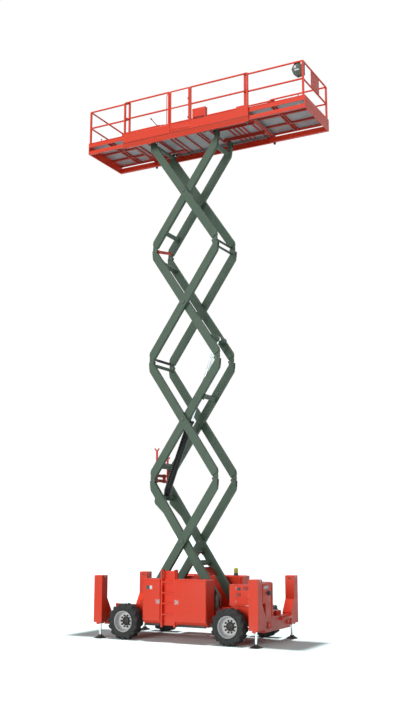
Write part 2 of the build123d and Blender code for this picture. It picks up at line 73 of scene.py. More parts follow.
def pickParts(piece, kind, collection, test):  # edit mode with the parts that pass the test selected
    pick(piece)
    bpy.ops.object.mode_set(mode="EDIT")
    bpy.ops.mesh.select_mode(type=kind)
    bpy.ops.mesh.select_all(action="DESELECT")
    bpy.ops.object.mode_set(mode="OBJECT")
    for part in getattr(piece.data, collection):
        part.select = test(part)
    bpy.ops.object.mode_set(mode="EDIT")


def pickFaces(piece, test):
    pickParts(piece, "FACE", "polygons", test)


def pickPoints(piece, test):
    pickParts(piece, "VERT", "vertices", lambda point: test(point.co))


def doneEditing():
    bpy.ops.object.mode_set(mode="OBJECT")


def roundEdges(piece, width, segments=2, angle=helperSetup["bevelAngle"]):
    pick(piece)
    bevel = piece.modifiers.new("edges", "BEVEL")
    bevel.width = width
    bevel.segments = segments
    bevel.limit_method = "ANGLE"
    bevel.angle_limit = math.radians(angle)
    bpy.ops.object.modifier_apply(modifier=bevel.name)
    bpy.ops.object.shade_smooth_by_angle(angle=math.radians(helperSetup["shade"]))
    return piece


def block(name, low, high, edge=0.003):
    clearSelection()
    middle = [(a + b) / 2 for a, b in zip(low, high)]
    bpy.ops.mesh.primitive_cube_add(size=1, location=middle)
    piece = bpy.context.object
    piece.name = name
    piece.scale = [abs(b - a) for a, b in zip(low, high)]
    settle(piece)
    if edge:
        roundEdges(piece, edge)
    return piece


def rod(name, start, end, radius, sides=20, edge=0.002):
    clearSelection()
    start, end = Vector(start), Vector(end)
    along = end - start
    bpy.ops.mesh.primitive_cylinder_add(vertices=sides, radius=radius, depth=along.length,
                                        location=(start + end) / 2)
    piece = bpy.context.object
    piece.name = name
    piece.rotation_mode = "QUATERNION"
    piece.rotation_quaternion = along.to_track_quat("Z", "Y")
    settle(piece)
    if edge:
        roundEdges(piece, edge)
    return piece


def drawLine(name, corners, y=0):  # a point extruded along (x, z) corners, left selected in edit mode
    clearSelection()
    bpy.ops.mesh.primitive_plane_add(size=0.001, location=(0, 0, 0))
    piece = bpy.context.object
    piece.name = name
    bpy.ops.object.mode_set(mode="EDIT")
    bpy.ops.mesh.select_all(action="SELECT")
    bpy.ops.mesh.merge(type="CENTER")
    bpy.ops.mesh.select_mode(type="VERT")
    bpy.ops.mesh.select_all(action="SELECT")
    bpy.ops.transform.translate(value=(corners[0][0], y, corners[0][1]))
    for before, after in zip(corners, corners[1:]):
        bpy.ops.mesh.extrude_vertices_move(
            TRANSFORM_OT_translate={"value": (after[0] - before[0], 0, after[1] - before[1])})
    bpy.ops.mesh.select_all(action="SELECT")
    return piece


def latheShape(name, profile, steps=48):  # profile of (radius, height) pairs, spun round the Z axis
    piece = drawLine(name, profile)
    bpy.ops.mesh.spin(steps=steps, angle=math.tau, center=(0, 0, 0), axis=(0, 0, 1))
    bpy.ops.mesh.select_all(action="SELECT")
    bpy.ops.mesh.remove_doubles(threshold=helperSetup["weld"])
    bpy.ops.mesh.normals_make_consistent(inside=False)
    doneEditing()
    bpy.ops.object.shade_smooth_by_angle(angle=math.radians(helperSetup["latheShade"]))
    return piece


def framed(piece, test, inset, push):  # chosen faces stand in or out inside a rim
    pickFaces(piece, test)
    bpy.ops.mesh.inset(thickness=inset)
    bpy.ops.transform.translate(value=push)
    doneEditing()
    return piece


def moved(piece, choose, test, push):  # choose is pickFaces or pickPoints
    choose(piece, test)
    bpy.ops.transform.translate(value=push)
    doneEditing()
    return piece


def resized(piece, choose, test, scale):
    choose(piece, test)
    bpy.ops.transform.resize(value=scale)
    doneEditing()
    return piece


def copyOf(piece, name, shift=(0, 0, 0), turn=0, axis="Z"):
    pick(piece)
    bpy.ops.object.duplicate()
    twin = bpy.context.object
    twin.name = name
    if turn:
        bpy.ops.object.mode_set(mode="EDIT")
        bpy.ops.mesh.select_all(action="SELECT")
        bpy.ops.transform.rotate(value=-turn, orient_axis=axis, center_override=(0, 0, 0))
        doneEditing()
    twin.location = shift
    return settle(twin)


def joined(name, pieces):
    clearSelection()
    for piece in pieces:
        piece.select_set(True)
    bpy.context.view_layer.objects.active = pieces[0]
    bpy.ops.object.join()
    whole = bpy.context.object
    whole.name = name
    return whole


def dress(piece, material, body):
    piece.data.materials.clear()
    piece.data.materials.append(material)
    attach(piece, body)
    return piece


cameraSetup = {"place": (10.897, -20.602, 2.677), "tilt": 100.597, "turn": 27.918, "lens": 47.5}
lightSetup = {"sky": 0.13, "floorSeen": (1.04, 1.22, 1.22), "floorBounce": (0.42, 0.42, 0.42),
              "topLight": {"power": 2.6, "tilt": 1.3, "turn": 128, "softness": 1.6},
              "frontLight": {"power": 3.0, "tilt": 86, "turn": -4, "softness": 44}}


def placeCamera():
    clearSelection()
    bpy.ops.object.camera_add(location=cameraSetup["place"])
    camera = bpy.context.object
    camera.name = "viewCamera"
    camera.rotation_euler = (math.radians(cameraSetup["tilt"]), 0, math.radians(cameraSetup["turn"]))
    camera.data.lens = cameraSetup["lens"]
    camera.data.sensor_width = 36
    camera.data.clip_end = 400
    bpy.context.scene.camera = camera


def seenRays(tree):  # 1 where the camera or a clear reflection looks, 0 for light that bounces
    rays = tree.nodes.new("ShaderNodeLightPath")
    first = tree.nodes.new("ShaderNodeMath")
    first.operation = "MAXIMUM"
    tree.links.new(rays.outputs["Is Camera Ray"], first.inputs[0])
    tree.links.new(rays.outputs["Is Glossy Ray"], first.inputs[1])
    second = tree.nodes.new("ShaderNodeMath")
    second.operation = "MAXIMUM"
    tree.links.new(first.outputs[0], second.inputs[0])
    tree.links.new(rays.outputs["Is Transmission Ray"], second.inputs[1])
    return second.outputs[0]


def lightTheRoom():
    world = bpy.data.worlds.new("paleRoom")
    bpy.context.scene.world = world
    world.use_nodes = True
    tree = world.node_tree
    tree.nodes.clear()
    output = tree.nodes.new("ShaderNodeOutputWorld")
    shade = tree.nodes.new("ShaderNodeMixShader")
    dim = tree.nodes.new("ShaderNodeBackground")
    dim.inputs["Color"].default_value = (0.97, 0.985, 1.0, 1)
    dim.inputs["Strength"].default_value = lightSetup["sky"]
    white = tree.nodes.new("ShaderNodeBackground")
    white.inputs["Color"].default_value = (1, 1, 1, 1)
    white.inputs["Strength"].default_value = 1
    tree.links.new(seenRays(tree), shade.inputs["Fac"])
    tree.links.new(dim.outputs[0], shade.inputs[1])
    tree.links.new(white.outputs[0], shade.inputs[2])
    tree.links.new(shade.outputs[0], output.inputs["Surface"])
    for name in ("topLight", "frontLight"):
        setup = lightSetup[name]
        clearSelection()
        bpy.ops.object.light_add(type="SUN", location=(0, 0, 30))
        lamp = bpy.context.object
        lamp.name = name
        lamp.data.energy = setup["power"]
        lamp.data.angle = math.radians(setup["softness"])
        lamp.rotation_euler = (math.radians(setup["tilt"]), 0, math.radians(setup["turn"]))


def layFloor():
    clearSelection()
    bpy.ops.mesh.primitive_plane_add(size=600, location=(0, 0, 0))
    floor = bpy.context.object
    floor.name = "studioFloor"
    material = bpy.data.materials.new("paleFloor")
    material.use_nodes = True
    tree = material.node_tree
    tree.nodes.clear()
    output = tree.nodes.new("ShaderNodeOutputMaterial")
    diffuse = tree.nodes.new("ShaderNodeBsdfDiffuse")
    tone = tree.nodes.new("ShaderNodeMix")
    tone.data_type = "RGBA"
    bounce, seen = lightSetup["floorBounce"], lightSetup["floorSeen"]
    tone.inputs["A"].default_value = (*bounce, 1)
    tone.inputs["B"].default_value = (*seen, 1)
    tree.links.new(seenRays(tree), tone.inputs["Factor"])
    tree.links.new(tone.outputs["Result"], diffuse.inputs["Color"])
    tree.links.new(diffuse.outputs[0], output.inputs["Surface"])
    floor.data.materials.append(material)


placeCamera()
lightTheRoom()
layFloor()
bpy.context.scene.view_settings.view_transform = "Standard"
print("camera, light and floor ready")


class Finish:  # a material and the few node chains that every finish shares
    def __init__(self, name):
        self.material = bpy.data.materials.new(name)
        self.material.use_nodes = True
        self.tree = self.material.node_tree
        self.shader = self.tree.nodes["Principled BSDF"]
        self.place = self.add("ShaderNodeTexCoord").outputs["Object"]

    def add(self, kind):
        return self.tree.nodes.new(kind)

    def link(self, source, target):
        self.tree.links.new(source, target)

    def set(self, **values):
        for socket, value in values.items():
            self.shader.inputs[socket.replace("_", " ")].default_value = value

    def noise(self, scale, detail=4, rough=0.55, stretch=(1, 1, 1)):
        mapping = self.add("ShaderNodeMapping")
        mapping.inputs["Scale"].default_value = stretch
        node = self.add("ShaderNodeTexNoise")
        node.inputs["Scale"].default_value = scale
        node.inputs["Detail"].default_value = detail
        node.inputs["Roughness"].default_value = rough
        self.link(self.place, mapping.inputs["Vector"])
        self.link(mapping.outputs[0], node.inputs["Vector"])
        return node.outputs[0]

    def ramp(self, source, low, high, lowValue=0.0, highValue=1.0):
        node = self.add("ShaderNodeMapRange")
        sockets = ("From Min", "From Max", "To Min", "To Max")
        for socket, value in zip(sockets, (low, high, lowValue, highValue)):
            node.inputs[socket].default_value = value
        self.link(source, node.inputs["Value"])
        return node.outputs[0]

    def sums(self, operation, first, second):
        node = self.add("ShaderNodeMath")
        node.operation = operation
        for socket, value in enumerate((first, second)):
            if isinstance(value, (int, float)):
                node.inputs[socket].default_value = value
            else:
                self.link(value, node.inputs[socket])
        return node.outputs[0]

    def blend(self, factor, first, second):
        node = self.add("ShaderNodeMix")
        node.data_type = "RGBA"
        for socket, value in (("A", first), ("B", second)):
            if isinstance(value, tuple):
                node.inputs[socket].default_value = (*value, 1)
            else:
                self.link(value, node.inputs[socket])
        self.link(factor, node.inputs["Factor"])
        return node.outputs["Result"]

    def height(self):  # z of the place
        split = self.add("ShaderNodeSeparateXYZ")
        self.link(self.place, split.inputs[0])
        return split.outputs["Z"]

    def edges(self, radius):  # 1 on convex and concave edges, from how far the rounded normal leans
        rounded = self.add("ShaderNodeBevel")
        rounded.samples = 4
        rounded.inputs["Radius"].default_value = radius
        flat = self.add("ShaderNodeNewGeometry")
        lean = self.add("ShaderNodeVectorMath")
        lean.operation = "DOT_PRODUCT"
        self.link(rounded.outputs[0], lean.inputs[0])
        self.link(flat.outputs["Normal"], lean.inputs[1])
        return self.ramp(lean.outputs["Value"], 0.97, 0.75)

    def bump(self, source, strength, distance):
        node = self.add("ShaderNodeBump")
        node.inputs["Strength"].default_value = strength
        node.inputs["Distance"].default_value = distance
        self.link(source, node.inputs["Height"])
        return node.outputs[0]

    def colour(self, source):
        self.link(source, self.shader.inputs["Base Color"])

    def roughness(self, source):
        self.link(source, self.shader.inputs["Roughness"])

    def normal(self, source):
        self.link(source, self.shader.inputs["Normal"])


def enamel(name, look):  # sprayed machine paint: faded patches, runs of dirt, chipped edges, orange peel
    made = Finish(name)
    patches = made.ramp(made.noise(look.get("patchScale", 0.9), 5), 0.35, 0.7)
    colour = made.blend(patches, look["base"], look["faded"])
    streaks = made.ramp(made.noise(7, 5, 0.6, (1, 1, 0.12)), 0.56, 0.78, 0, look["streaks"])
    colour = made.blend(streaks, colour, look["dirt"])
    chips = made.ramp(made.noise(26, 3, 0.6), 0.42, 0.62)
    worn = made.sums("MULTIPLY", made.edges(look["edge"]), chips)
    worn = made.sums("MULTIPLY", worn, look["chips"])
    colour = made.blend(worn, colour, look["bare"])
    low = made.sums("MULTIPLY", made.ramp(made.height(), 0.75, 0.25),
                    made.ramp(made.noise(9, 5, 0.65), 0.3, 0.75))
    colour = made.blend(made.sums("MULTIPLY", low, look["dust"]), colour, (0.33, 0.27, 0.22))
    made.colour(colour)
    made.roughness(made.ramp(made.noise(5, 4), 0.3, 0.7, look["rough"] - 0.05, look["rough"] + 0.09))
    made.normal(made.bump(made.noise(240, 2), 0.12, 0.0006))
    made.set(Coat_Weight=look["coat"], Coat_Roughness=0.2, Specular_IOR_Level=look.get("shine", 0.4))
    return made.material


redLook = {"base": (0.82, 0.042, 0.011), "faded": (0.78, 0.052, 0.017), "dirt": (0.40, 0.05, 0.024),
           "bare": (0.93, 0.26, 0.16), "edge": 0.010, "chips": 0.55, "streaks": 0.22, "dust": 0.25,
           "rough": 0.40, "coat": 0.10, "shine": 0.3}
armLook = {"base": (0.076, 0.124, 0.086), "faded": (0.094, 0.144, 0.104), "dirt": (0.052, 0.066, 0.050),
           "bare": (0.18, 0.22, 0.19), "edge": 0.010, "chips": 0.45, "streaks": 0.30, "dust": 0.2,
           "rough": 0.48, "coat": 0.03, "shine": 0.25, "patchScale": 0.7}
blackLook = {"base": (0.009, 0.010, 0.010), "faded": (0.016, 0.017, 0.017), "dirt": (0.035, 0.030, 0.025),
             "bare": (0.13, 0.125, 0.12), "edge": 0.008, "chips": 0.4, "streaks": 0.3, "dust": 0.25,
             "rough": 0.42, "coat": 0.05, "shine": 0.25}
rimLook = {"base": (0.70, 0.715, 0.73), "faded": (0.60, 0.615, 0.63), "dirt": (0.30, 0.28, 0.25),
           "bare": (0.82, 0.83, 0.84), "edge": 0.006, "chips": 0.3, "streaks": 0.3, "dust": 0.35,
           "rough": 0.33, "coat": 0.2, "patchScale": 4}


# painted shade: a darker red for the ribs and frames under the deck, for the shade they sit in
shadedUndersideLook = dict(redLook, base=(0.50, 0.038, 0.022), faded=(0.44, 0.044, 0.028), coat=0.0, rough=0.55)
# painted shade: a darker, duller red for the channel web that lies in the shade of the toe board
shadedChannelLook = dict(redLook, base=(0.68, 0.044, 0.014), faded=(0.63, 0.050, 0.018), coat=0.0, rough=0.55)
maroonLook = dict(redLook, base=(0.36, 0.035, 0.022), faded=(0.33, 0.04, 0.028))


def rubber():
    made = Finish("tyreRubber")
    dusty = made.ramp(made.noise(9, 5, 0.65), 0.35, 0.75)
    made.colour(made.blend(dusty, (0.024, 0.026, 0.026), (0.052, 0.053, 0.052)))
    made.set(Specular_IOR_Level=0.3)
    made.roughness(made.ramp(made.noise(14, 4), 0.3, 0.7, 0.62, 0.85))
    made.normal(made.bump(made.noise(160, 3, 0.6), 0.35, 0.002))
    return made.material


def polished(name, colour, rough, scratch):
    made = Finish(name)
    smears = made.ramp(made.noise(18, 5, 0.6, (1, 1, 0.2)), 0.35, 0.75)
    made.colour(made.blend(smears, colour, tuple(0.8 * channel for channel in colour)))
    made.roughness(made.ramp(made.noise(30, 4), 0.3, 0.7, rough, rough + 0.12))
    made.normal(made.bump(made.noise(300, 2, 0.5, (1, 1, 0.05)), scratch, 0.0004))
    made.set(Metallic=1.0)
    return made.material


def plastic(name, dark, light, rough=0.5):
    made = Finish(name)
    made.colour(made.blend(made.ramp(made.noise(6, 4), 0.3, 0.75), dark, light))
    made.roughness(made.ramp(made.noise(12, 3), 0.3, 0.7, rough - 0.08, rough + 0.1))
    made.normal(made.bump(made.noise(420, 2), 0.25, 0.0005))
    return made.material


def deckPlate():  # painted chequer plate, scuffed where people stand
    made = Finish("deckPlate")
    scuffs = made.ramp(made.noise(3.5, 6, 0.65), 0.4, 0.72)
    made.colour(made.blend(scuffs, (0.385, 0.39, 0.405), (0.47, 0.47, 0.475)))
    made.roughness(made.ramp(made.noise(8, 4), 0.3, 0.7, 0.45, 0.65))
    grip = made.add("ShaderNodeTexVoronoi")
    grip.inputs["Scale"].default_value = 34
    made.link(made.place, grip.inputs["Vector"])
    made.normal(made.bump(made.ramp(grip.outputs["Distance"], 0.12, 0.3, 1, 0), 0.5, 0.003))
    return made.material


redPaint = enamel("redEnamel", redLook)
armPaint = enamel("greyGreenEnamel", armLook)
blackPaint = enamel("blackEnamel", blackLook)
rimPaint = enamel("wheelEnamel", rimLook)
maroonPaint = enamel("maroonEnamel", maroonLook)
shadedUndersidePaint = enamel("shadedUndersideEnamel", shadedUndersideLook)
shadedChannelPaint = enamel("shadedChannelEnamel", shadedChannelLook)
darkRedPaint = enamel("darkRedEnamel", dict(redLook, base=(0.22, 0.022, 0.016), faded=(0.18, 0.022, 0.016)))
tyreRubber = rubber()
chrome = polished("hardChrome", (0.86, 0.87, 0.88), 0.08, 0.15)
steel = polished("bareSteel", (0.50, 0.50, 0.51), 0.36, 0.4)
darkSteel = polished("darkSteel", (0.09, 0.092, 0.095), 0.42, 0.3)
darkPlastic = plastic("darkPlastic", (0.022, 0.024, 0.025), (0.034, 0.037, 0.038))
greenPlastic = plastic("greyGreenPlastic", (0.040, 0.055, 0.046), (0.060, 0.078, 0.066), 0.42)
paleSticker = plastic("blankPlate", (0.78, 0.79, 0.80), (0.70, 0.71, 0.72), 0.4)
latchMetal = plastic("latchMetal", (0.60, 0.61, 0.62), (0.46, 0.47, 0.48), 0.35)
amberLens = plastic("amberLens", (0.50, 0.50, 0.03), (0.40, 0.41, 0.03), 0.18)
olivePaint = plastic("olivePaint", (0.040, 0.037, 0.028), (0.062, 0.056, 0.044), 0.4)
greyRubber = plastic("greyRubber", (0.20, 0.21, 0.205), (0.30, 0.31, 0.30), 0.5)
hoseRubber = plastic("hoseRubber", (0.018, 0.019, 0.020), (0.035, 0.036, 0.036), 0.6)
deckFinish = deckPlate()

nodeFinish = {}
for nodeName in cadNodes:
    if nodeName.startswith("arms_"):
        nodeFinish[nodeName] = armPaint
    elif nodeName.endswith(("_axle", "_knuckle")) or nodeName in ("engine_block", "lift_barrel"):
        nodeFinish[nodeName] = blackPaint
    elif nodeName.endswith("_shoes"):
        nodeFinish[nodeName] = steel
    else:
        nodeFinish[nodeName] = redPaint
nodeFinish["lift_rod"] = chrome
nodeFinish["deck_floor"] = deckFinish
nodeFinish["control_box"] = darkPlastic
for nodeName, material in nodeFinish.items():
    cadNodes[nodeName].data.materials.clear()
    cadNodes[nodeName].data.materials.append(material)


def repaint(nodeName, material, test):  # another finish on the faces of a CAD node that pass the test
    node = cadNodes[nodeName]
    node.data.materials.append(material)
    place = len(node.data.materials) - 1
    for face in node.data.polygons:
        if test(face.center, face.normal):
            face.material_index = place


print("finishes ready")


wheelSetup = {"radius": 0.4156, "width": 0.298, "lugs": 15, "lugHeight": 0.030, "lugWidth": 0.060,
              "bead": 0.246, "studs": 10, "studCircle": 0.134, "hubDepth": 0.055}


def makeLug():  # one bar of the tread: middle of the crown out to the shoulder, swept back and turned down
    reach, height, width = 0.158, wheelSetup["lugHeight"], wheelSetup["lugWidth"]
    top = wheelSetup["radius"]
    lug = block("lug", (-width / 2, -reach + 0.012, top - height), (width / 2, 0.012, top), 0)
    pickFaces(lug, lambda face: face.normal.y < -0.9)
    bpy.ops.transform.translate(value=(0.070, 0, -0.008))
    bpy.ops.transform.resize(value=(1.18, 1, 1))
    bpy.ops.mesh.extrude_region_move(TRANSFORM_OT_translate={"value": (0.010, -0.002, -0.030)})
    doneEditing()
    return roundEdges(lug, 0.006, 2)


def makeTyre():
    half = wheelSetup["width"] / 2
    side = [(wheelSetup["bead"], 0.118), (0.256, 0.132), (0.275, 0.139), (0.30, half - 0.004),
            (0.335, half - 0.001), (0.362, half - 0.006), (0.380, half - 0.018), (0.392, half - 0.040),
            (0.398, 0.06), (0.400, 0)]
    profile = side + [(radius, -out) for radius, out in reversed(side[:-1])] + [side[0]]
    carcass = latheShape("carcass", profile, 64)
    rings = [latheShape("ring", [(radius, half - 0.0035), (radius + 0.004, half - 0.0002),
                                 (radius + 0.010, half - 0.0002), (radius + 0.014, half - 0.0035)], 64)
             for radius in (0.292, 0.338)]
    rings += [copyOf(ring, "ring", turn=halfTurn, axis="X") for ring in list(rings)]
    parts = [carcass] + rings
    for piece in parts:
        turned(piece, (quarterTurn, 0, 0))
    lug = makeLug()
    mirrored = copyOf(lug, "lug", turn=halfTurn, axis="Z")
    step = math.tau / wheelSetup["lugs"]
    for index in range(wheelSetup["lugs"]):
        parts.append(copyOf(lug, "lug", turn=index * step, axis="Y"))
        parts.append(copyOf(mirrored, "lug", turn=(index + 0.5) * step, axis="Y"))
    for piece in (lug, mirrored):
        bpy.data.objects.remove(piece)
    return joined("tyreModel", parts)


def makeRim():  # deep dish, open side towards -Y after it is turned
    profile = [(0.232, -0.124), (0.2455, -0.127), (0.2455, -0.118), (0.236, -0.104), (0.226, -0.06),
               (0.222, 0.02), (0.226, 0.07), (0.2455, 0.116), (0.2455, 0.128), (0.238, 0.131), (0.231, 0.126),
               (0.226, 0.112), (0.221, 0.090), (0.214, 0.040), (0.205, 0.000), (0.190, -0.017), (0.172, -0.024),
               (0.150, -0.025), (0.146, -0.031), (0.100, -0.031), (0.100, -0.045), (0.150, -0.049),
               (0.186, -0.038), (0.200, -0.045), (0.206, -0.07), (0.222, -0.104), (0.232, -0.124)]
    rim = latheShape("rimModel", profile, 64)
    return turned(rim, (quarterTurn, 0, 0))


def makeHub():
    profile = [(0.0, 0.098), (0.030, 0.097), (0.044, 0.090), (0.050, 0.076), (0.080, 0.072), (0.090, 0.066),
               (0.096, 0.052), (0.096, 0.028), (0.108, 0.024), (0.108, 0.002), (0.098, 0.0), (0.0, 0.0)]
    hub = latheShape("hub", profile, 48)
    parts = [hub]
    stud = latheShape("stud", [(0.0, 0.078), (0.009, 0.077), (0.011, 0.068), (0.0165, 0.066), (0.0185, 0.061),
                               (0.0185, 0.036), (0.022, 0.032), (0.022, 0.024), (0.0, 0.024)], 12)
    for index in range(wheelSetup["studs"]):
        angle = index * math.tau / wheelSetup["studs"]
        circle = wheelSetup["studCircle"]
        parts.append(copyOf(stud, "stud", shift=(circle * math.cos(angle), circle * math.sin(angle), 0)))
    plug = latheShape("plug", [(0.0, 0.108), (0.010, 0.107), (0.012, 0.098), (0.012, 0.090), (0, 0.090)], 16)
    parts.append(plug)
    bpy.data.objects.remove(stud)
    whole = joined("hubModel", parts)
    return turned(whole, (quarterTurn, 0, 0), (0, wheelSetup["hubDepth"], 0))


def fitWheels():
    tyre, rim, hub = makeTyre(), makeRim(), makeHub()
    for end in ("left", "right"):
        for side in ("near", "far"):
            low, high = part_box(f"{end}_{side}_tyre")
            centre = (low + high) / 2
            turn = 0 if side == "near" else halfTurn
            for model, part, material, slotName, stands in (
                    (tyre, "tyreTread", tyreRubber, "tyre", "tyre"), (rim, "rimDish", rimPaint, "rim", "rim"),
                    (hub, "hubNuts", blackPaint, "black_paint", None)):
                piece = copyOf(model, f"{part}_{end}_{side}", shift=centre, turn=turn, axis="Z")
                dress(piece, material, f"{end}_{side}_wheel")
                if stands:
                    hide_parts(f"{end}_{side}_{stands}")
    for model in (tyre, rim, hub):
        bpy.data.objects.remove(model)


fitWheels()
print("wheels fitted")


jackSetup = {"padRadius": 0.139, "legRadius": 0.030, "ribs": 8}


def fitJacks():
    wide, thin = jackSetup["padRadius"], jackSetup["legRadius"]
    pad = latheShape("padModel", [(0.0, 0.0), (0.130, 0.0), (wide, 0.004), (wide, 0.013), (0.130, 0.019),
                                  (0.112, 0.020), (0.104, 0.026), (0.062, 0.042), (0.052, 0.052),
                                  (0.050, 0.074), (0.044, 0.082), (0.031, 0.084), (0.0, 0.084)], 48)
    ribs = []
    for index in range(jackSetup["ribs"]):
        rib = block("rib", (0.045, -0.004, 0.018), (0.128, 0.004, 0.060), 0)
        roundEdges(moved(rib, pickPoints, lambda co: co.x > 0.1 and co.z > 0.03, (0, 0, -0.036)), 0.001, 1)
        ribs.append(copyOf(rib, "rib", turn=index * math.tau / jackSetup["ribs"]))
        bpy.data.objects.remove(rib)
    pad = joined("padModel", [pad] + ribs)
    leg = latheShape("legModel", [(0.0, 0.070), (thin, 0.070), (thin, 0.895), (0.064, 0.900),
                                  (0.064, 0.955), (0.0, 0.958)], 32)
    for end in ("left", "right"):
        for side in ("near", "far"):
            low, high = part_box(f"{end}_{side}_jack")
            centre = ((low.x + high.x) / 2, (low.y + high.y) / 2, 0)
            body = f"{end}_{side}_jack"
            dress(copyOf(pad, f"jackPad_{end}_{side}", shift=centre), blackPaint, body)
            piece = dress(copyOf(leg, f"jackLeg_{end}_{side}", shift=centre), chrome, body)
            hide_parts(f"{end}_{side}_jack")
    bpy.data.objects.remove(pad)
    bpy.data.objects.remove(leg)


fitJacks()
print("jacks fitted")


def softenNode(name, width):
    node = cadNodes[name]
    weld = node.modifiers.new("weld", "WELD")
    weld.merge_threshold = 0.0002
    bevel = node.modifiers.new("edges", "BEVEL")
    bevel.width = width
    bevel.segments = 2
    bevel.limit_method = "ANGLE"
    bevel.angle_limit = math.radians(helperSetup["bevelAngle"])


softWidths = {"tray": 0.010, "cabinet": 0.010, "hoods": 0.008, "beam": 0.007, "arms": 0.006}
for nodeName in cadNodes:
    if nodeName.endswith(("_tyre", "_rim", "_jack")):
        continue
    width = 0.003
    for word, wordWidth in softWidths.items():
        if word in nodeName:
            width = wordWidth
    softenNode(nodeName, width)


postSetup = {"x": {"left": (-2.455, -2.225), "right": (1.715, 1.945)}, "y": (0.93, 1.17), "top": 1.48,
             "bottom": 0.375, "holeY": 1.035, "holeZ": 1.455}


def makeSlotShadow():  # painted shade: a dark plate with round ends for the shadowed hollow of a slot, standing on +Y
    slotShadow = block("slotShadow", (-0.045, -0.002, -0.013), (0.045, 0.002, 0.013), 0)
    pickParts(slotShadow, "EDGE", "edges", lambda edge: abs(
        slotShadow.data.vertices[edge.vertices[0]].co.y - slotShadow.data.vertices[edge.vertices[1]].co.y) > 0.003)
    bpy.ops.mesh.bevel(offset=0.0125, segments=6)
    doneEditing()
    return roundEdges(slotShadow, 0.0006, 1, 60)


def fitPosts():
    bush = latheShape("bush", [(0.0125, 0.0), (0.026, 0.0), (0.026, 0.003), (0.024, 0.0045), (0.0145, 0.0045),
                               (0.0125, 0.003), (0.0125, 0.0)], 28)
    turned(bush, (0, quarterTurn, 0))
    slotShadow = makeSlotShadow()
    seal = latheShape("seal", [(0.0305, -0.028), (0.040, -0.026), (0.052, -0.018), (0.054, 0.0), (0.100, 0.0),
                               (0.100, 0.006), (0.0305, 0.006), (0.0305, -0.028)], 32)
    for end in ("left", "right"):
        low, high = postSetup["x"][end]
        middleX = (low + high) / 2
        for side, sign in (("near", -1), ("far", 1)):
            inner, outer = (sign * distance for distance in postSetup["y"])
            yLow, yHigh = min(inner, outer), max(inner, outer)
            top = postSetup["top"]
            cap = block("cap", (low + 0.007, yLow + 0.007, top - 0.004),
                        (high - 0.007, yHigh - 0.007, top + 0.007), 0)
            roundEdges(framed(cap, lambda face: face.normal.z > 0.9, 0.02, (0, 0, -0.004)), 0.0025)
            ears = [block("ear", (middleX - 0.045, sign * place - 0.009, postSetup["bottom"] - 0.045),
                          (middleX + 0.045, sign * place + 0.009, postSetup["bottom"] + 0.01), 0.006)
                    for place in (0.955, 1.145)]
            fittings = joined(f"postCap_{end}_{side}", [cap] + ears)
            dress(fittings, redPaint, "chassis")
            middleY = sign * postSetup["holeY"]
            bushes = joined(f"postBush_{end}_{side}", [
                copyOf(bush, "bush", shift=(high, middleY, postSetup["holeZ"])),
                copyOf(bush, "bush", shift=(low, middleY, postSetup["holeZ"]), turn=halfTurn, axis="Z")])
            dress(bushes, paleSticker, "chassis")
            # painted shade in the slot of each post
            dress(copyOf(slotShadow, f"postSlotShadow_{end}_{side}", shift=(middleX, inner, 1.418)), darkPlastic, "chassis")
            dress(copyOf(seal, f"postSeal_{end}_{side}", shift=(middleX, middleY, postSetup["bottom"] + 0.001)),
                  hoseRubber, "chassis")
    for model in (bush, slotShadow, seal):
        bpy.data.objects.remove(model)


fitPosts()
print("posts fitted")


doorSetup = {   # x range, hinge x, latch x, +1 on the far side
    "near_left_door": ((-1.080, -0.620), -1.080, -0.676, -1),
    "near_right_door": ((-0.210, 0.610), 0.610, -0.159, -1),
    "far_left_door": ((-1.080, -0.238), -1.080, -0.300, 1),
    "far_right_door": ((-0.232, 0.610), 0.610, -0.170, 1),
}


def makeLatch():  # pressed dish with a paddle in it, facing -Y
    plate = block("latch", (-0.052, -0.006, -0.048), (0.052, 0.0, 0.048), 0)
    roundEdges(framed(plate, lambda face: face.normal.y < -0.9, 0.012, (0, 0.0045, 0)), 0.002)
    paddle = block("paddle", (-0.030, -0.009, -0.026), (0.034, -0.002, 0.022), 0)
    roundEdges(moved(paddle, pickPoints, lambda co: co.x < 0 and co.y < -0.005, (0, 0.005, 0)), 0.0018)
    barrel = latheShape("lock", [(0.0, 0.0), (0.009, 0.0), (0.010, -0.002), (0.010, -0.006), (0.0, -0.006)], 16)
    turned(barrel, (quarterTurn, 0, 0), (-0.038, -0.004, 0.030))
    return joined("latchModel", [plate, paddle, barrel])


def makeDoor(name):  # pressed panel: folded rim, raised field and turned-in edges
    (xLow, xHigh), hingeX, latchX, sign = doorSetup[name]
    door = block("door", (xLow, -1.130, 0.485), (xHigh, -1.112, 1.420), 0)
    pickFaces(door, lambda face: face.normal.y < -0.9)
    bpy.ops.mesh.inset(thickness=0.026)
    bpy.ops.transform.translate(value=(0, 0.004, 0))
    bpy.ops.mesh.inset(thickness=0.012)
    bpy.ops.transform.translate(value=(0, -0.0035, 0))
    doneEditing()
    roundEdges(door, 0.0035, 3, 12)
    parts = [door]
    for height in (0.56, 0.95, 1.34):
        x = hingeX + (0.012 if hingeX < 0 else -0.012)
        parts.append(rod("knuckle", (x, -1.1305, height - 0.035), (x, -1.1305, height + 0.035),
                         0.0075, 14, 0.0015))
    whole = joined(name + "Panel", parts)
    if sign == 1:
        whole = settle(mirrorAcross(whole))
    dress(whole, redPaint, name)
    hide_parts(name)
    return latchX, sign


def mirrorAcross(piece):  # to the far side, with the faces turned outwards again
    pick(piece)
    piece.scale = (1, -1, 1)
    settle(piece)
    bpy.ops.object.mode_set(mode="EDIT")
    bpy.ops.mesh.select_all(action="SELECT")
    bpy.ops.mesh.normals_make_consistent(inside=False)
    doneEditing()
    return piece


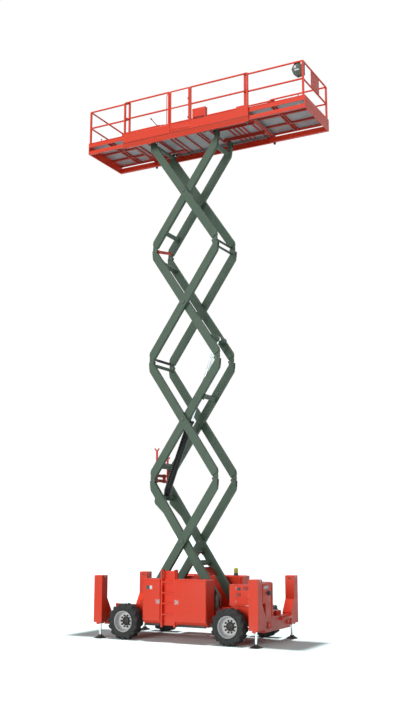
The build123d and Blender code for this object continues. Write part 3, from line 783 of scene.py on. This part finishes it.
def louvres(name, xRange, heights, face, sign):  # pressed slots, hooded from above
    low, high = xRange
    hood = block("hood", (low, face - 0.010, -0.012), (high, face + 0.002, 0.012), 0)
    roundEdges(moved(hood, pickPoints, lambda co: co.z > 0 and co.y < face - 0.004, (0, 0.009, 0)), 0.002)
    rows = [copyOf(hood, "hood", shift=(0, 0, height)) for height in heights]
    bpy.data.objects.remove(hood)
    whole = joined(name, rows)
    return mirrorAcross(whole) if sign == 1 else whole


def fitTrays():
    latch = makeLatch()
    for name in doorSetup:
        latchX, sign = makeDoor(name)
        piece = copyOf(latch, name + "Latch", shift=(latchX, -1.126, 0.922))
        if sign == 1:
            mirrorAcross(piece)
        dress(piece, latchMetal, name)
    bpy.data.objects.remove(latch)
    dress(louvres("leftBayLouvres", (-0.96, -0.42), [0.62 + 0.05 * row for row in range(7)], -1.1285, 1),
          redPaint, "far_left_door")
    dress(louvres("rightBayLouvres", (-0.02, 0.52), [0.62 + 0.05 * row for row in range(7)], -1.1285, 1),
          redPaint, "far_right_door")
    lips = [block("lip", (low, -1.119, 1.421), (high, -1.075, 1.443), 0.005)
            for low, high in ((-1.088, -0.612), (-0.218, 0.618))]
    lips.append(block("lip", (-1.088, 1.075, 1.421), (0.60, 1.119, 1.456), 0.005))
    lips += [block("lip", (low, -0.735, 1.424), (high, -0.698, 1.438), 0.004)
             for low, high in ((-1.088, -0.612), (-0.218, 0.618))]
    for x in (-1.06, -0.64, -0.19, 0.59):  # folded corners of the bays
        lips.append(block("corner", (x - 0.014, -1.114, 0.47), (x + 0.014, -1.100, 1.425), 0.004))
    dress(joined("trayLips", lips), redPaint, "chassis")
    feet = [block("rail", (low, -1.06, 0.360), (high, -1.02, 0.414), 0.004)
            for low, high in ((-1.05, -0.66), (-0.17, 0.57))]
    dress(joined("trayRunners", feet), blackPaint, "chassis")


def fitGauge():  # small window and blank plate on the left near door
    frameRing = block("gauge", (-0.990, -1.136, 1.198), (-0.902, -1.129, 1.284), 0)
    roundEdges(framed(frameRing, lambda face: face.normal.y < -0.9, 0.010, (0, 0.004, 0)), 0.002)
    dress(frameRing, greenPlastic, "near_left_door")
    plate = block("blankDoorPlate", (-0.894, -1.1325, 1.200), (-0.826, -1.1295, 1.282), 0)
    roundEdges(framed(plate, lambda face: face.normal.y < -0.9, 0.006, (0, 0.001, 0)), 0.0008)
    dress(plate, paleSticker, "near_left_door")


ladderSetup = {"stiles": (-0.590, -0.240), "rungs": (0.630, 0.880, 1.120, 1.370)}


def fitLadder():
    low, high = ladderSetup["stiles"]
    grips = []
    tooth = block("tooth", (-0.008, -1.098, 0.0), (0.008, -1.067, 0.006), 0)
    resized(tooth, pickFaces, lambda face: face.normal.z > 0.9, (0.5, 0.85, 1))
    for height in ladderSetup["rungs"]:
        grips += [copyOf(tooth, "tooth", shift=(low + 0.04 + 0.027 * index, 0, height + 0.0145))
                  for index in range(11)]
    bpy.data.objects.remove(tooth)
    dress(joined("ladderGrips", grips), redPaint, "chassis")
    brackets = []
    for x in (low, high):
        for height in (0.52, 1.30):
            bracket = block("bracket", (x - 0.026, -1.060, height - 0.03),
                            (x + 0.026, -1.005, height + 0.03), 0)
            resized(bracket, pickFaces, lambda face: face.normal.y > 0.9, (1, 1, 1.35))
            brackets.append(roundEdges(bracket, 0.003))
    dress(joined("ladderBrackets", brackets), redPaint, "chassis")


fitTrays()
fitGauge()
fitLadder()
print("trays, doors and ladder fitted")


beaconSetup = {"place": (0.374, 0.95, 1.450), "ridges": 6, "ridgeStep": 0.016,
               "conduit": ((0.539, 0.734, 1.285), (0.539, 0.734, 1.452), (0.430, 0.900, 1.456))}


def fitBeacon():
    place = beaconSetup["place"]
    base = latheShape("beaconBase", [(0.0, 0.0), (0.060, 0.0), (0.062, 0.006), (0.055, 0.016), (0.052, 0.050),
                                     (0.056, 0.054), (0.056, 0.064), (0.0, 0.064)], 36)
    base.location = place
    dress(settle(base), darkPlastic, "chassis")
    rings = [(0.050, 0.064)]
    for step in range(beaconSetup["ridges"]):
        height = 0.068 + step * beaconSetup["ridgeStep"]
        rings += [(0.052, height), (0.0485, height + 0.008)]
    lens = latheShape("beaconLens", rings + [(0.050, 0.166), (0.042, 0.182), (0.026, 0.192), (0.0, 0.195)], 36)
    lens.location = place
    dress(settle(lens), amberLens, "chassis")
    low, bend, end = beaconSetup["conduit"]
    runs = [rod("riser", low, bend, 0.007, 12), rod("elbow", bend, end, 0.007, 12)]
    dress(joined("beaconConduit", runs), darkPlastic, "chassis")


engineSetup = {"ribs": 9, "bands": (0.66, 0.84, 1.02), "fins": 12, "finStep": 0.045}


def fitEngine():  # stands in the far tray, seen when its doors are open
    crate = block("crankcase", (-0.62, 0.80, 0.50), (-0.02, 1.02, 0.80), 0)
    pickFaces(crate, lambda face: face.normal.z > 0.9)
    bpy.ops.mesh.inset(thickness=0.03)
    bpy.ops.mesh.extrude_region_move(TRANSFORM_OT_translate={"value": (0, 0, 0.18)})
    bpy.ops.mesh.inset(thickness=0.02)
    bpy.ops.mesh.extrude_region_move(TRANSFORM_OT_translate={"value": (0, 0, 0.07)})
    doneEditing()
    parts = [roundEdges(crate, 0.008)]
    for index in range(engineSetup["ribs"]):
        x = -0.575 + 0.06 * index
        parts.append(block("rib", (x, 0.792, 0.56), (x + 0.014, 1.028, 0.76), 0.003))
    parts.append(rod("airFilter", (-0.56, 0.94, 1.108), (-0.26, 0.94, 1.108), 0.062, 28, 0.008))
    parts.append(rod("oilFilter", (-0.10, 1.00, 0.62), (-0.10, 1.04, 0.62), 0.040, 24, 0.006))
    parts.append(block("tank", (0.0, 0.775, 0.505), (0.19, 1.045, 1.18), 0.02))
    for height in engineSetup["bands"]:
        parts.append(block("band", (-0.004, 0.771, height), (0.194, 1.049, height + 0.022), 0.004))
    parts.append(latheCap((0.10, 0.91, 1.18), 0.045))
    parts.append(block("coolerFrame", (-0.702, 0.78, 0.52), (-0.650, 1.04, 1.12), 0.006))
    for index in range(engineSetup["fins"]):
        bottom = 0.555 + engineSetup["finStep"] * index
        parts.append(block("fin", (-0.705, 0.80, bottom), (-0.647, 1.02, bottom + 0.008), 0.001))
    whole = joined("engineAndTank", parts)
    dress(whole, blackPaint, "chassis")
    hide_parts("engine_block")


def latheCap(place, radius):
    cap = latheShape("cap", [(0.0, 0.0), (radius * 0.8, 0.0), (radius * 0.8, 0.008), (radius, 0.010),
                             (radius, 0.018), (radius * 0.9, 0.020), (0.0, 0.020)], 24)
    cap.location = place
    return settle(cap)


def plateOn(name, low, high, axis, rise, inset, material):  # framed plate on a vertical face of the chassis
    piece = block(name, low, high, 0)
    outward = 0 if axis == "x" else 1
    sign = 1 if axis == "x" else -1
    pickFaces(piece, lambda face: face.normal[outward] * sign > 0.9)
    bpy.ops.mesh.inset(thickness=inset)
    move = [0, 0, 0]
    move[outward] = sign * rise
    bpy.ops.transform.translate(value=move)
    doneEditing()
    roundEdges(piece, 0.002)
    return dress(piece, material, "chassis")


hoodSetup = {"face": -0.700, "cover": 0.012, "plates": (   # name, x range, z range, depth, rise, rim, finish
    ("hoodGauge", (1.212, 1.300), (1.205, 1.276), 0.006, -0.003, 0.009, darkPlastic),
    ("hoodPlateA", (1.358, 1.505), (1.212, 1.298), 0.004, -0.002, 0.006, maroonPaint),
    ("hoodPlateB", (1.192, 1.306), (1.066, 1.158), 0.004, -0.002, 0.006, maroonPaint),
    ("hoodBoxA", (1.428, 1.518), (1.002, 1.132), 0.016, 0.004, 0.012, redPaint),
    ("hoodBoxB", (1.428, 1.518), (0.886, 0.934), 0.012, 0.003, 0.008, redPaint),
    ("hoodStrip", (1.418, 1.516), (0.868, 0.880), 0.003, 0.001, 0.002, paleSticker))}


def fitHood():  # valve cover on the near wheel hood
    face = hoodSetup["face"]
    cover = plateOn("valveCover", (1.176, face - 0.010, 0.872), (1.690, face + 0.002, 1.325),
                    "y", 0.003, 0.02, redPaint)
    face -= hoodSetup["cover"]
    for name, (left, right), (bottom, top), depth, rise, rim, finish in hoodSetup["plates"]:
        plateOn(name, (left, face - depth, bottom), (right, face, top), "y", rise, rim, finish)
    hinges = [rod("hinge", (1.183, face - 0.002, low), (1.183, face - 0.002, high), 0.007, 12)
              for low, high in ((0.92, 0.98), (1.23, 1.29))]
    dress(joined("coverHinges", hinges), steel, "chassis")


def fitCabinet():
    x = 1.940
    cover = plateOn("cabinetDoor", (x - 0.002, -0.905, 0.972), (x + 0.008, -0.455, 1.372),
                    "x", 0.003, 0.018, redPaint)
    strip = plateOn("cabinetEdge", (x - 0.002, -0.405, 0.605), (x + 0.012, -0.352, 1.385),
                    "x", 0.003, 0.010, redPaint)
    plateOn("blankCabinetPlate", (x + 0.009, -0.858, 1.274), (x + 0.0135, -0.612, 1.332),
            "x", 0.001, 0.006, paleSticker)
    knob = latheShape("knob", [(0.0, 0.062), (0.036, 0.060), (0.048, 0.052), (0.052, 0.040), (0.046, 0.026),
                               (0.026, 0.020), (0.024, 0.012), (0.058, 0.010), (0.062, 0.004), (0.062, 0.0),
                               (0.0, 0.0)], 32)
    wing = block("wing", (-0.014, -0.085, 0.034), (0.014, 0.085, 0.060), 0)
    roundEdges(resized(wing, pickPoints, lambda co: abs(co.y) > 0.05, (0.55, 1, 0.7)), 0.005, 3)
    handle = joined("isolatorKnob", [knob, wing])
    dress(turned(handle, (0, quarterTurn, 0), (x + 0.009, -0.605, 1.168)), darkPlastic, "chassis")


def fitTieEyes():  # bent bar eyes on both end beams
    clearSelection()
    bpy.ops.mesh.primitive_torus_add(major_radius=0.055, minor_radius=0.012,
                                     major_segments=36, minor_segments=12)
    ring = bpy.context.object
    turned(ring, (quarterTurn, 0, 0))
    resized(ring, pickPoints, lambda co: co.x < -0.001, (0.35, 1, 1))
    bpy.ops.object.shade_smooth_by_angle(angle=math.radians(60))
    pad = block("pad", (-0.022, -0.03, -0.075), (-0.004, 0.03, 0.075), 0.006)
    eye = joined("eye", [ring, pad])
    for end, x, turn in (("right", 1.937, 0), ("left", -2.447, halfTurn)):
        for side, y in (("near", -0.552), ("far", 0.552)):
            piece = copyOf(eye, f"tieEye_{end}_{side}", shift=(x, y, 0.452), turn=turn)
            dress(piece, redPaint, "chassis")
    bpy.data.objects.remove(eye)


def fitAccumulators():
    profile = [(0.0, 0.0), (0.018, 0.0), (0.018, 0.018), (0.026, 0.026), (0.038, 0.046), (0.042, 0.074),
               (0.042, 0.300), (0.038, 0.330), (0.024, 0.352), (0.012, 0.358), (0.012, 0.372), (0.0, 0.374)]
    tank = latheShape("tank", profile, 32)
    bands, arms = [], []
    for low, high in ((0.11, 0.132), (0.24, 0.262)):
        bands.append(latheShape("band", [(0.0415, low), (0.0445, low), (0.0445, high), (0.0415, high)], 32))
        arms.append(block("arm", (-0.075, -0.0735, low), (0.020, -0.038, high), 0.003))
    whole = joined("accumulatorNear", [tank] + bands + arms)
    whole.location = (0.652, -0.630, 0.752)
    settle(whole)
    twin = mirrorAcross(copyOf(whole, "accumulatorFar"))
    twin.name = "accumulatorFar"
    for piece in (whole, twin):
        dress(piece, olivePaint, "chassis")


fitBeacon()
fitEngine()
fitHood()
fitCabinet()
fitTieEyes()
fitAccumulators()
print("beacon, engine, hood, cabinet and eyes fitted")


mastSetup = {"left": -1.230, "middle": -0.3565, "right": 0.517,
             "levels": (0.806, 3.797, 6.788, 9.779, 12.770), "armLength": 3.464, "halfArm": 0.105,
             "outerFaces": (0.559, 0.459), "innerFaces": (0.449, 0.349)}


def makeCap(radius, proud):  # washer, nut and pin end, standing on +Z
    nut = latheShape("nut", [(0.0, proud), (radius * 0.30, proud), (radius * 0.34, proud * 0.9),
                             (radius * 0.34, proud * 0.75), (radius * 0.62, proud * 0.72),
                             (radius * 0.66, proud * 0.6), (radius * 0.66, proud * 0.35), (radius, proud * 0.3),
                             (radius, 0.0), (0.0, 0.0)], 24)
    return turned(nut, (quarterTurn, 0, 0))


def capsAt(name, body, x, z, model, thin, faces):
    # faces: (distance from the middle plane, +1 pointing away from it or -1 towards it)
    pieces = []
    for side in (-1, 1):
        for distance, way in faces:
            points = side * way
            source = model if way == 1 and distance > 0.5 else thin
            pieces.append(copyOf(source, "cap", shift=(x, side * distance, z),
                                 turn=0 if points < 0 else halfTurn))
    return dress(joined(name, pieces), darkSteel, body)


def fitPins():
    thick, thin, centre = makeCap(0.036, 0.014), makeCap(0.034, 0.0035), makeCap(0.034, 0.010)
    outerFaces = ((mastSetup["outerFaces"][0], 1), (mastSetup["outerFaces"][1], -1))
    innerFaces = ((mastSetup["innerFaces"][0], 1), (mastSetup["innerFaces"][1], -1))
    for level in range(1, 5):
        height = mastSetup["levels"][level]
        odd = level % 2 == 1
        capsAt(f"leftPins{level}", f"arms_b{level}", mastSetup["left"], height, thick, thin,
               innerFaces if odd else outerFaces)
        capsAt(f"rightPins{level}", f"arms_a{level}", mastSetup["right"], height, thick, thin,
               outerFaces if odd else innerFaces)
        middle = (mastSetup["levels"][level - 1] + height) / 2
        innerArm = f"arms_b{level}" if odd else f"arms_a{level}"
        capsAt(f"centrePins{level}", innerArm, mastSetup["middle"], middle, centre, thin,
               ((0.573, 1), (mastSetup["innerFaces"][1], -1)))
    for model in (thick, thin, centre):
        bpy.data.objects.remove(model)


def fitSpacer():  # short red tube at the third left joint
    tube = rod("spacer", (-1.205, -0.343, 9.765), (-1.205, 0.250, 9.875), 0.040, 28, 0.006)
    ends = [rod("collar", (-1.205, -0.347, 9.764), (-1.205, -0.325, 9.768), 0.052, 28, 0.004),
            rod("collar", (-1.205, 0.235, 9.872), (-1.205, 0.262, 9.877), 0.048, 28, 0.006)]
    dress(joined("redSpacer", [tube] + ends), redPaint, "arms_b3")


def sleeveRibs(name, start, end, radius, count, body, material, valley=0.86):  # corrugated sleeve
    start, end = Vector(start), Vector(end)
    length = (end - start).length
    pitch = length / count
    low = radius * valley
    profile = [(0.0, 0.0), (low, 0.0)]
    for index in range(count):
        base = index * pitch
        profile += [(low, base + pitch * 0.15), (radius, base + pitch * 0.35),
                    (radius, base + pitch * 0.65), (low, base + pitch * 0.85)]
    profile += [(low, length), (0.0, length)]
    sleeve = latheShape(name, profile, 20)
    sleeve.rotation_mode = "QUATERNION"
    sleeve.rotation_quaternion = (end - start).to_track_quat("Z", "Y")
    sleeve.location = start
    settle(sleeve)
    return dress(sleeve, material, body)


cylinderSetup = {"foot": (-1.13836, 0, 3.38105), "along": (0.356422, 0, 0.934325), "rim": 0.088, "teeth": 31,
                 "pitch": 0.052, "clamps": (0.30, 0.95, 1.60), "lines": (0.45, -0.15)}


def fitCylinder():  # guide strip with its teeth, clamps and hard lines along the barrel
    foot, along, rim = Vector(cylinderSetup["foot"]), Vector(cylinderSetup["along"]), cylinderSetup["rim"]
    lean = Vector((-along.z, 0, along.x))
    outward = (lean * 0.55 + Vector((0, -0.83, 0))).normalized()
    pieces, teeth = [], []
    edge = foot + outward * rim
    pieces.append(rod("strip", edge + along * 0.16, edge + along * 1.78, 0.011, 10))
    for index in range(cylinderSetup["teeth"]):
        place = foot + along * (0.18 + index * cylinderSetup["pitch"]) + outward * 0.094
        teeth.append(rod("tooth", place - along * 0.010, place + along * 0.010, 0.0125, 10, 0.002))
    for distance in cylinderSetup["clamps"]:
        clamp = latheShape("clamp", [(0.0785, -0.014), (0.0845, -0.014), (0.0865, -0.012), (0.0865, 0.012),
                                     (0.0845, 0.014), (0.0785, 0.014), (0.0785, -0.014)], 40)
        clamp.rotation_mode = "QUATERNION"
        clamp.rotation_quaternion = along.to_track_quat("Z", "Y")
        clamp.location = foot + along * distance
        pieces.append(settle(clamp))
    for shift in cylinderSetup["lines"]:
        side = (lean * shift + Vector((0, 0.9, 0))).normalized()
        edge = foot + side * rim
        pieces.append(rod("line", edge + along * 0.2, edge + along * 1.76, 0.008, 10))
    dress(joined("barrelFittings", pieces), blackPaint, "lift_barrel")
    dress(joined("barrelTeeth", teeth), greyRubber, "lift_barrel")


bossSetup = {"drop": {"a2": 0.020, "a3": 0.035, "a4": 0.080, "b4": 0.030},   # arms that hang off their pivots
             "places": ((1, "b", -0.260, -0.040), (1, "b", -0.590, -0.040), (2, "a", -1.360, 0.010),
                        (2, "a", 0.736, -0.068), (3, "b", 1.330, 0.030), (4, "a", -1.208, 0.0),
                        (4, "a", 1.423, 0.0)),
             "half": 0.078, "bolt": 0.066}


def fitMastBosses():  # pads where the cross beams meet the inner arms
    def armPoint(level, kind, u, v):  # u along the arm from its middle, v across it
        direction = 1 if kind == "a" else -1
        dropped = bossSetup["drop"].get(f"{kind}{level}", 0)
        rise = mastSetup["levels"][1] - mastSetup["levels"][0]
        raised = math.atan2(rise, mastSetup["right"] - mastSetup["left"])
        tilt = raised - math.asin((2 * mastSetup["halfArm"] + dropped) / mastSetup["armLength"])
        z = mastSetup["levels"][0] + (level - 0.5) * rise
        across = v - dropped / 2
        return (mastSetup["middle"] + direction * (u * math.cos(tilt) - across * math.sin(tilt)),
                z + u * math.sin(tilt) + across * math.cos(tilt), tilt * direction)

    half, bolt = bossSetup["half"], bossSetup["bolt"]
    for level, kind, u, v in bossSetup["places"]:
        x, z, tilt = armPoint(level, kind, u, v)
        pads = []
        for sign in (-1, 1):
            pad = block("pad", (-half, sign * 0.3485 - 0.0045, -half),
                        (half, sign * 0.3485 + 0.0045, half), 0.004)
            bolts = [rod("bolt", (bx, sign * 0.345, bz), (bx, sign * 0.336, bz), 0.010, 6, 0.0015)
                     for bx in (-bolt, bolt) for bz in (-bolt, bolt)]
            pads.append(joined("pad", [pad] + bolts))
        whole = joined(f"beamPads_{kind}{level}_{abs(int(u * 1000))}", pads)
        dress(turned(whole, (0, -tilt, 0), (x, 0, z)), armPaint, f"arms_{kind}{level}")


def fitGuard():  # sloping red plate between the lowest inner arms
    plate = block("plate", (-0.131, -0.350, -0.005), (0.131, 0.350, 0.005), 0)
    pickFaces(plate, lambda face: abs(face.normal.x) > 0.9)
    bpy.ops.mesh.extrude_region_move(TRANSFORM_OT_translate={"value": (0, 0, -0.016)})
    doneEditing()
    roundEdges(plate, 0.002, 2)
    turned(plate, (0, math.radians(42.8), 0), (0.050, 0, 1.590))
    plate.name = "mastGuard"
    dress(plate, redPaint, "arms_b1")


def fitPropFrame():  # channels and end plate that carry the maintenance prop
    parts = []
    for low, high in ((3.762, 3.834), (3.888, 3.958)):
        channel = block("channel", (-1.276, -0.336, low), (-1.204, 0.100, high), 0)
        pickFaces(channel, lambda face: abs(face.normal.x) > 0.9)
        bpy.ops.mesh.inset(thickness=0.010, use_individual=True)
        bpy.ops.transform.resize(value=(0.86, 1, 1))
        doneEditing()
        parts.append(roundEdges(channel, 0.003))
    plate = block("plate", (-1.286, 0.090, 3.748), (-1.194, 0.106, 3.972), 0)
    parts.append(roundEdges(plate, 0.004))
    # painted shade: the prop frame takes the darker red of the shaded undersides
    dress(joined("propFrame", parts), shadedUndersidePaint, "arms_b1")


fitPins()
fitPropFrame()
fitGuard()
fitSpacer()
sleeveRibs("hoseSleeve", (-1.2234, -0.340, 6.8668), (-1.2234, 0.340, 6.8668), 0.0342, 30,
           "arms_a3", hoseRubber, 0.9)
fitCylinder()
fitMastBosses()
print("mast pins, spacer, sleeve and cylinder fitted")


deckSetup = {"gate": (-0.601, 0.001), "gateY": -0.857, "leverY": -0.851, "channelY": 0.850,
             "channelEnds": (-2.034, 1.679), "channelBottom": {-1: 12.620, 1: 12.715}, "hoseY": -0.715,
             "hoses": (("deckHoseRight", 0.300, 1.500, 12.690, 0.028, 46),
                       ("deckHoseLeft", -1.250, -0.250, 12.745, 0.024, 40)),
             "clips": (((0.36, 0.72, 1.08, 1.44), 0.033, 12.655), ((-1.20, -0.75, -0.30), 0.029, 12.716))}


def fitPads():  # rubber stops under the ends of the side channels
    for name, x, side in (("nearLeft", -1.990, -1), ("farLeft", -2.000, 1),
                          ("nearRight", 1.640, -1), ("farRight", 1.645, 1)):
        bottom, middle = deckSetup["channelBottom"][side], side * 0.852
        pad = block(f"channelPad_{name}", (x - 0.034, middle - 0.020, bottom - 0.062),
                    (x + 0.034, middle + 0.020, bottom), 0)
        resized(pad, pickPoints, lambda co: co.z < bottom - 0.03, (0.72, 0.8, 1))
        dress(roundEdges(pad, 0.006, 3), hoseRubber, "platform")


def fitCouplers():  # sleeves where the sliding rails run into the fixed ones
    for end, low, high in (("left", -1.966, -1.905), ("right", 1.586, 1.630)):
        for side, sign in (("near", -1), ("far", 1)):
            blocks = []
            rail, middle = sign * deckSetup["channelY"], (low + high) / 2
            for z in (13.450, 13.9075):
                sleeve = block("sleeve", (low, rail - 0.028, z - 0.030), (high, rail + 0.028, z + 0.030), 0)
                pickFaces(sleeve, lambda face: abs(face.normal.x) > 0.9)
                bpy.ops.mesh.inset(thickness=0.008)
                doneEditing()
                blocks.append(roundEdges(sleeve, 0.004))
                blocks.append(rod("knob", (middle, sign * 0.892, z), (middle, sign * 0.846, z), 0.012, 12))
            dress(joined(f"railSleeves_{end}_{side}", blocks), darkRedPaint, "platform")


def fitGrabLoop():
    x, y = -0.690, deckSetup["gateY"]
    tube = [rod("run", (x + start[0], y, start[1]), (x + end[0], y, end[1]), 0.010, 14, 0)
            for start, end in (((0, 12.995), (0, 13.840)), ((0, 13.840), (0.016, 13.872)),
                               ((0.016, 13.872), (0.052, 13.884)), ((0, 13.000), (0.052, 12.986)),
                               ((0, 13.450), (0.050, 13.450)))]
    dress(joined("gateGrabBar", tube), redPaint, "platform")


def fitGateDetails():
    low, high = deckSetup["gate"]
    y = deckSetup["gateY"]
    hinges = [rod("hinge", (low + 0.010, y - 0.020, z - 0.028), (low + 0.010, y - 0.020, z + 0.028), 0.009, 12)
              for z in (13.02, 13.45, 13.86)]
    dress(joined("gateHinges", hinges), redPaint, "platform")
    catch = [block("catch", (high - 0.060, y - 0.022, z - 0.022), (high - 0.022, y + 0.022, z + 0.022), 0.005)
             for z in (13.10, 13.62)]
    knob = latheShape("knob", [(0.0, 0.0), (0.014, 0.0), (0.014, 0.004), (0.008, 0.008), (0.008, 0.016),
                               (0.014, 0.020), (0.012, 0.026), (0.0, 0.027)], 20)
    turned(knob, (quarterTurn, 0, 0), (high - 0.041, y + 0.002, 13.62))
    dress(joined("gateCatch", catch + [knob]), darkRedPaint, "gate")
    strike = [block("strike", (high + 0.002, y - 0.020, z - 0.030), (high + 0.020, y + 0.020, z + 0.030), 0.004)
              for z in (13.10, 13.62)]
    dress(joined("gateStrike", strike), redPaint, "platform")


def fitReleaseLever():  # foot lever that frees the left extension
    y = deckSetup["leverY"]
    bracket = block("bracket", (-1.020, y - 0.021, 12.986), (-0.900, y + 0.018, 13.060), 0)
    roundEdges(resized(bracket, pickFaces, lambda face: face.normal.z > 0.9, (0.7, 1, 1)), 0.004)
    extra = block("stop", (-0.850, y - 0.021, 12.986), (-0.790, y + 0.016, 13.052), 0.005)
    arm = rod("arm", (-0.955, y, 13.030), (-1.176, y, 13.300), 0.010, 14)
    grip = rod("grip", (-1.142, y, 13.258), (-1.190, y, 13.317), 0.016, 16, 0.005)
    dress(joined("releaseLever", [bracket, extra, arm, grip]), darkRedPaint, "platform")


def fitToePins():
    for name, x in (("left_extension", -2.780), ("right_extension", 3.000)):
        pieces = []
        for y in (-0.805, 0.805):
            pieces += [rod("stem", (x, y, 13.005), (x, y, 13.062), 0.010, 14),
                       rod("head", (x, y, 13.048), (x, y, 13.072), 0.019, 18, 0.004)]
        dress(joined(name + "Pins", pieces), redPaint, name)
    strip = block("latchStrip", (2.170, -0.822, 13.006), (2.370, -0.806, 13.030), 0)
    moved(strip, pickPoints, lambda co: co.x < 2.2 and co.z > 13.01, (0.03, 0, -0.008))
    dress(roundEdges(strip, 0.003), darkRedPaint, "right_extension")


controlSetup = {"y": (-0.776, -0.667), "buttons": ((2.93, 13.80), (2.98, 13.80), (3.03, 13.80), (2.95, 13.70)),
                "outline": ((2.820, 13.780), (2.872, 13.882), (2.950, 13.916), (3.070, 13.880), (3.100, 13.800),
                            (3.100, 13.600), (3.060, 13.575), (2.955, 13.562), (2.868, 13.640))}


def fitControls():  # control box hung on the near rail of the right extension
    low, high = controlSetup["y"]
    body = drawLine("controlHousing", controlSetup["outline"], low)
    bpy.ops.mesh.edge_face_add()
    bpy.ops.mesh.extrude_region_move(TRANSFORM_OT_translate={"value": (0, high - low, 0)})
    bpy.ops.mesh.select_all(action="SELECT")
    bpy.ops.mesh.normals_make_consistent(inside=False)
    doneEditing()
    roundEdges(framed(body, lambda face: face.normal.y < -0.9, 0.016, (0, 0.006, 0)), 0.006, 3)
    dress(body, greenPlastic, "right_extension")
    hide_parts("control_box")
    fittings = [block("hook", (2.905, -0.800, 13.905), (3.040, -0.690, 13.942), 0.006),
                block("hook", (2.900, -0.800, 13.870), (2.915, -0.700, 13.940), 0.004),
                block("rear", (3.104, -0.772, 13.570), (3.150, -0.690, 13.880), 0.008)]
    stick = latheShape("stick", [(0.0, 0.0), (0.026, 0.0), (0.022, 0.010), (0.012, 0.018), (0.009, 0.030),
                                 (0.016, 0.040), (0.017, 0.056), (0.010, 0.066), (0.0, 0.068)], 20)
    turned(stick, (-quarterTurn, 0, 0), (3.030, high - 0.001, 13.700))
    buttons = []
    for x, z in controlSetup["buttons"]:
        button = latheShape("button", [(0.0, 0.0), (0.014, 0.0), (0.014, 0.005), (0.010, 0.006), (0.010, 0.012),
                                       (0.0, 0.013)], 18)
        buttons.append(turned(button, (-quarterTurn, 0, 0), (x, high - 0.001, z)))
    dress(joined("controlFittings", fittings + [stick] + buttons), darkPlastic, "right_extension")
    panels = [block("panel", (2.890, low - 0.0005, 13.790), (2.945, low + 0.008, 13.860), 0.002),
              block("panel", (2.900, low - 0.0005, 13.720), (3.020, low + 0.008, 13.755), 0.002)]
    dress(joined("controlPanels", panels), paleSticker, "right_extension")


def fitDeckLines():  # sleeves and pipes below the fixed deck
    y = deckSetup["hoseY"]
    for name, left, right, z, radius, ribs in deckSetup["hoses"]:
        sleeveRibs(name, (left, y, z), (right, y, z), radius, ribs, "platform", hoseRubber)
    clips = [block("clip", (x - 0.016, y - half, bottom), (x + 0.016, y + half, 12.838), 0.004)
             for places, half, bottom in deckSetup["clips"] for x in places]
    dress(joined("deckClips", clips), blackPaint, "platform")
    lines = [rod("line", (-1.9, place, 12.8275), (1.55, place, 12.8275), 0.008, 10, 0)
             for place in (0.640, 0.665, 0.690)]
    dress(joined("deckLines", lines), darkSteel, "platform")
    low, high = deckSetup["channelEnds"]
    flanges = []
    for side, bottom in deckSetup["channelBottom"].items():
        middle = side * deckSetup["channelY"]
        flanges.append(block("flange", (low, middle - 0.026, bottom - 0.004),
                             (high, middle + 0.026, bottom + 0.008), 0.003))
    dress(joined("channelFlanges", flanges), redPaint, "platform")
    raised = [block("raised", (-2.034, -0.879, 12.985), (-0.640, -0.871, 13.030), 0.002),
              block("sill", (-0.598, -0.879, 12.845), (-0.002, -0.869, 12.896), 0.002)]
    dress(joined("toeEdges", raised), redPaint, "platform")
    # painted shadow: a thin dark red strip along the near side below the toe board, for the shadow line there
    toeShadowStrip = block("toeShadow", (-2.010, -0.872, 12.752), (1.674, -0.866, 12.770), 0.002)
    dress(toeShadowStrip, darkRedPaint, "platform")


def fitDeckBox():
    low, high = 0.089, 0.469
    lid = block("lid", (low - 0.004, -0.884, 13.236), (high + 0.004, -0.768, 13.284), 0)
    roundEdges(framed(lid, lambda face: face.normal.z > 0.9, 0.012, (0, 0, -0.003)), 0.004)
    lid.name = "deckBoxLid"
    dress(lid, redPaint, "platform")


fitPads()
fitCouplers()
fitGrabLoop()
fitGateDetails()
fitReleaseLever()
fitToePins()
fitControls()
fitDeckLines()
fitDeckBox()
print("platform pieces fitted")


for body in ("left_extension", "right_extension"):
    repaint(body, deckFinish, lambda centre, normal: abs(centre.y) < 0.807 and 12.934 < centre.z < 12.952
            and -3.15 < centre.x < 3.155 and abs(normal.z) > 0.5)
    # painted shade: the ribs under the extensions take the darker red of the shaded undersides
    repaint(body, shadedUndersidePaint, lambda centre, normal: centre.z < 12.9345 and abs(centre.y) < 0.80
            and abs(centre.x) < 3.158 and 12.885 < centre.z)
# painted shade: the underside of the deck frame takes the darker red
repaint("deck_frame", shadedUndersidePaint, lambda centre, normal: abs(centre.y) < 0.8325 and centre.z < 12.866)
# painted shade: the near side channel of the deck frame takes the darker red
repaint("deck_frame", shadedChannelPaint, lambda centre, normal: centre.y < -0.8335)
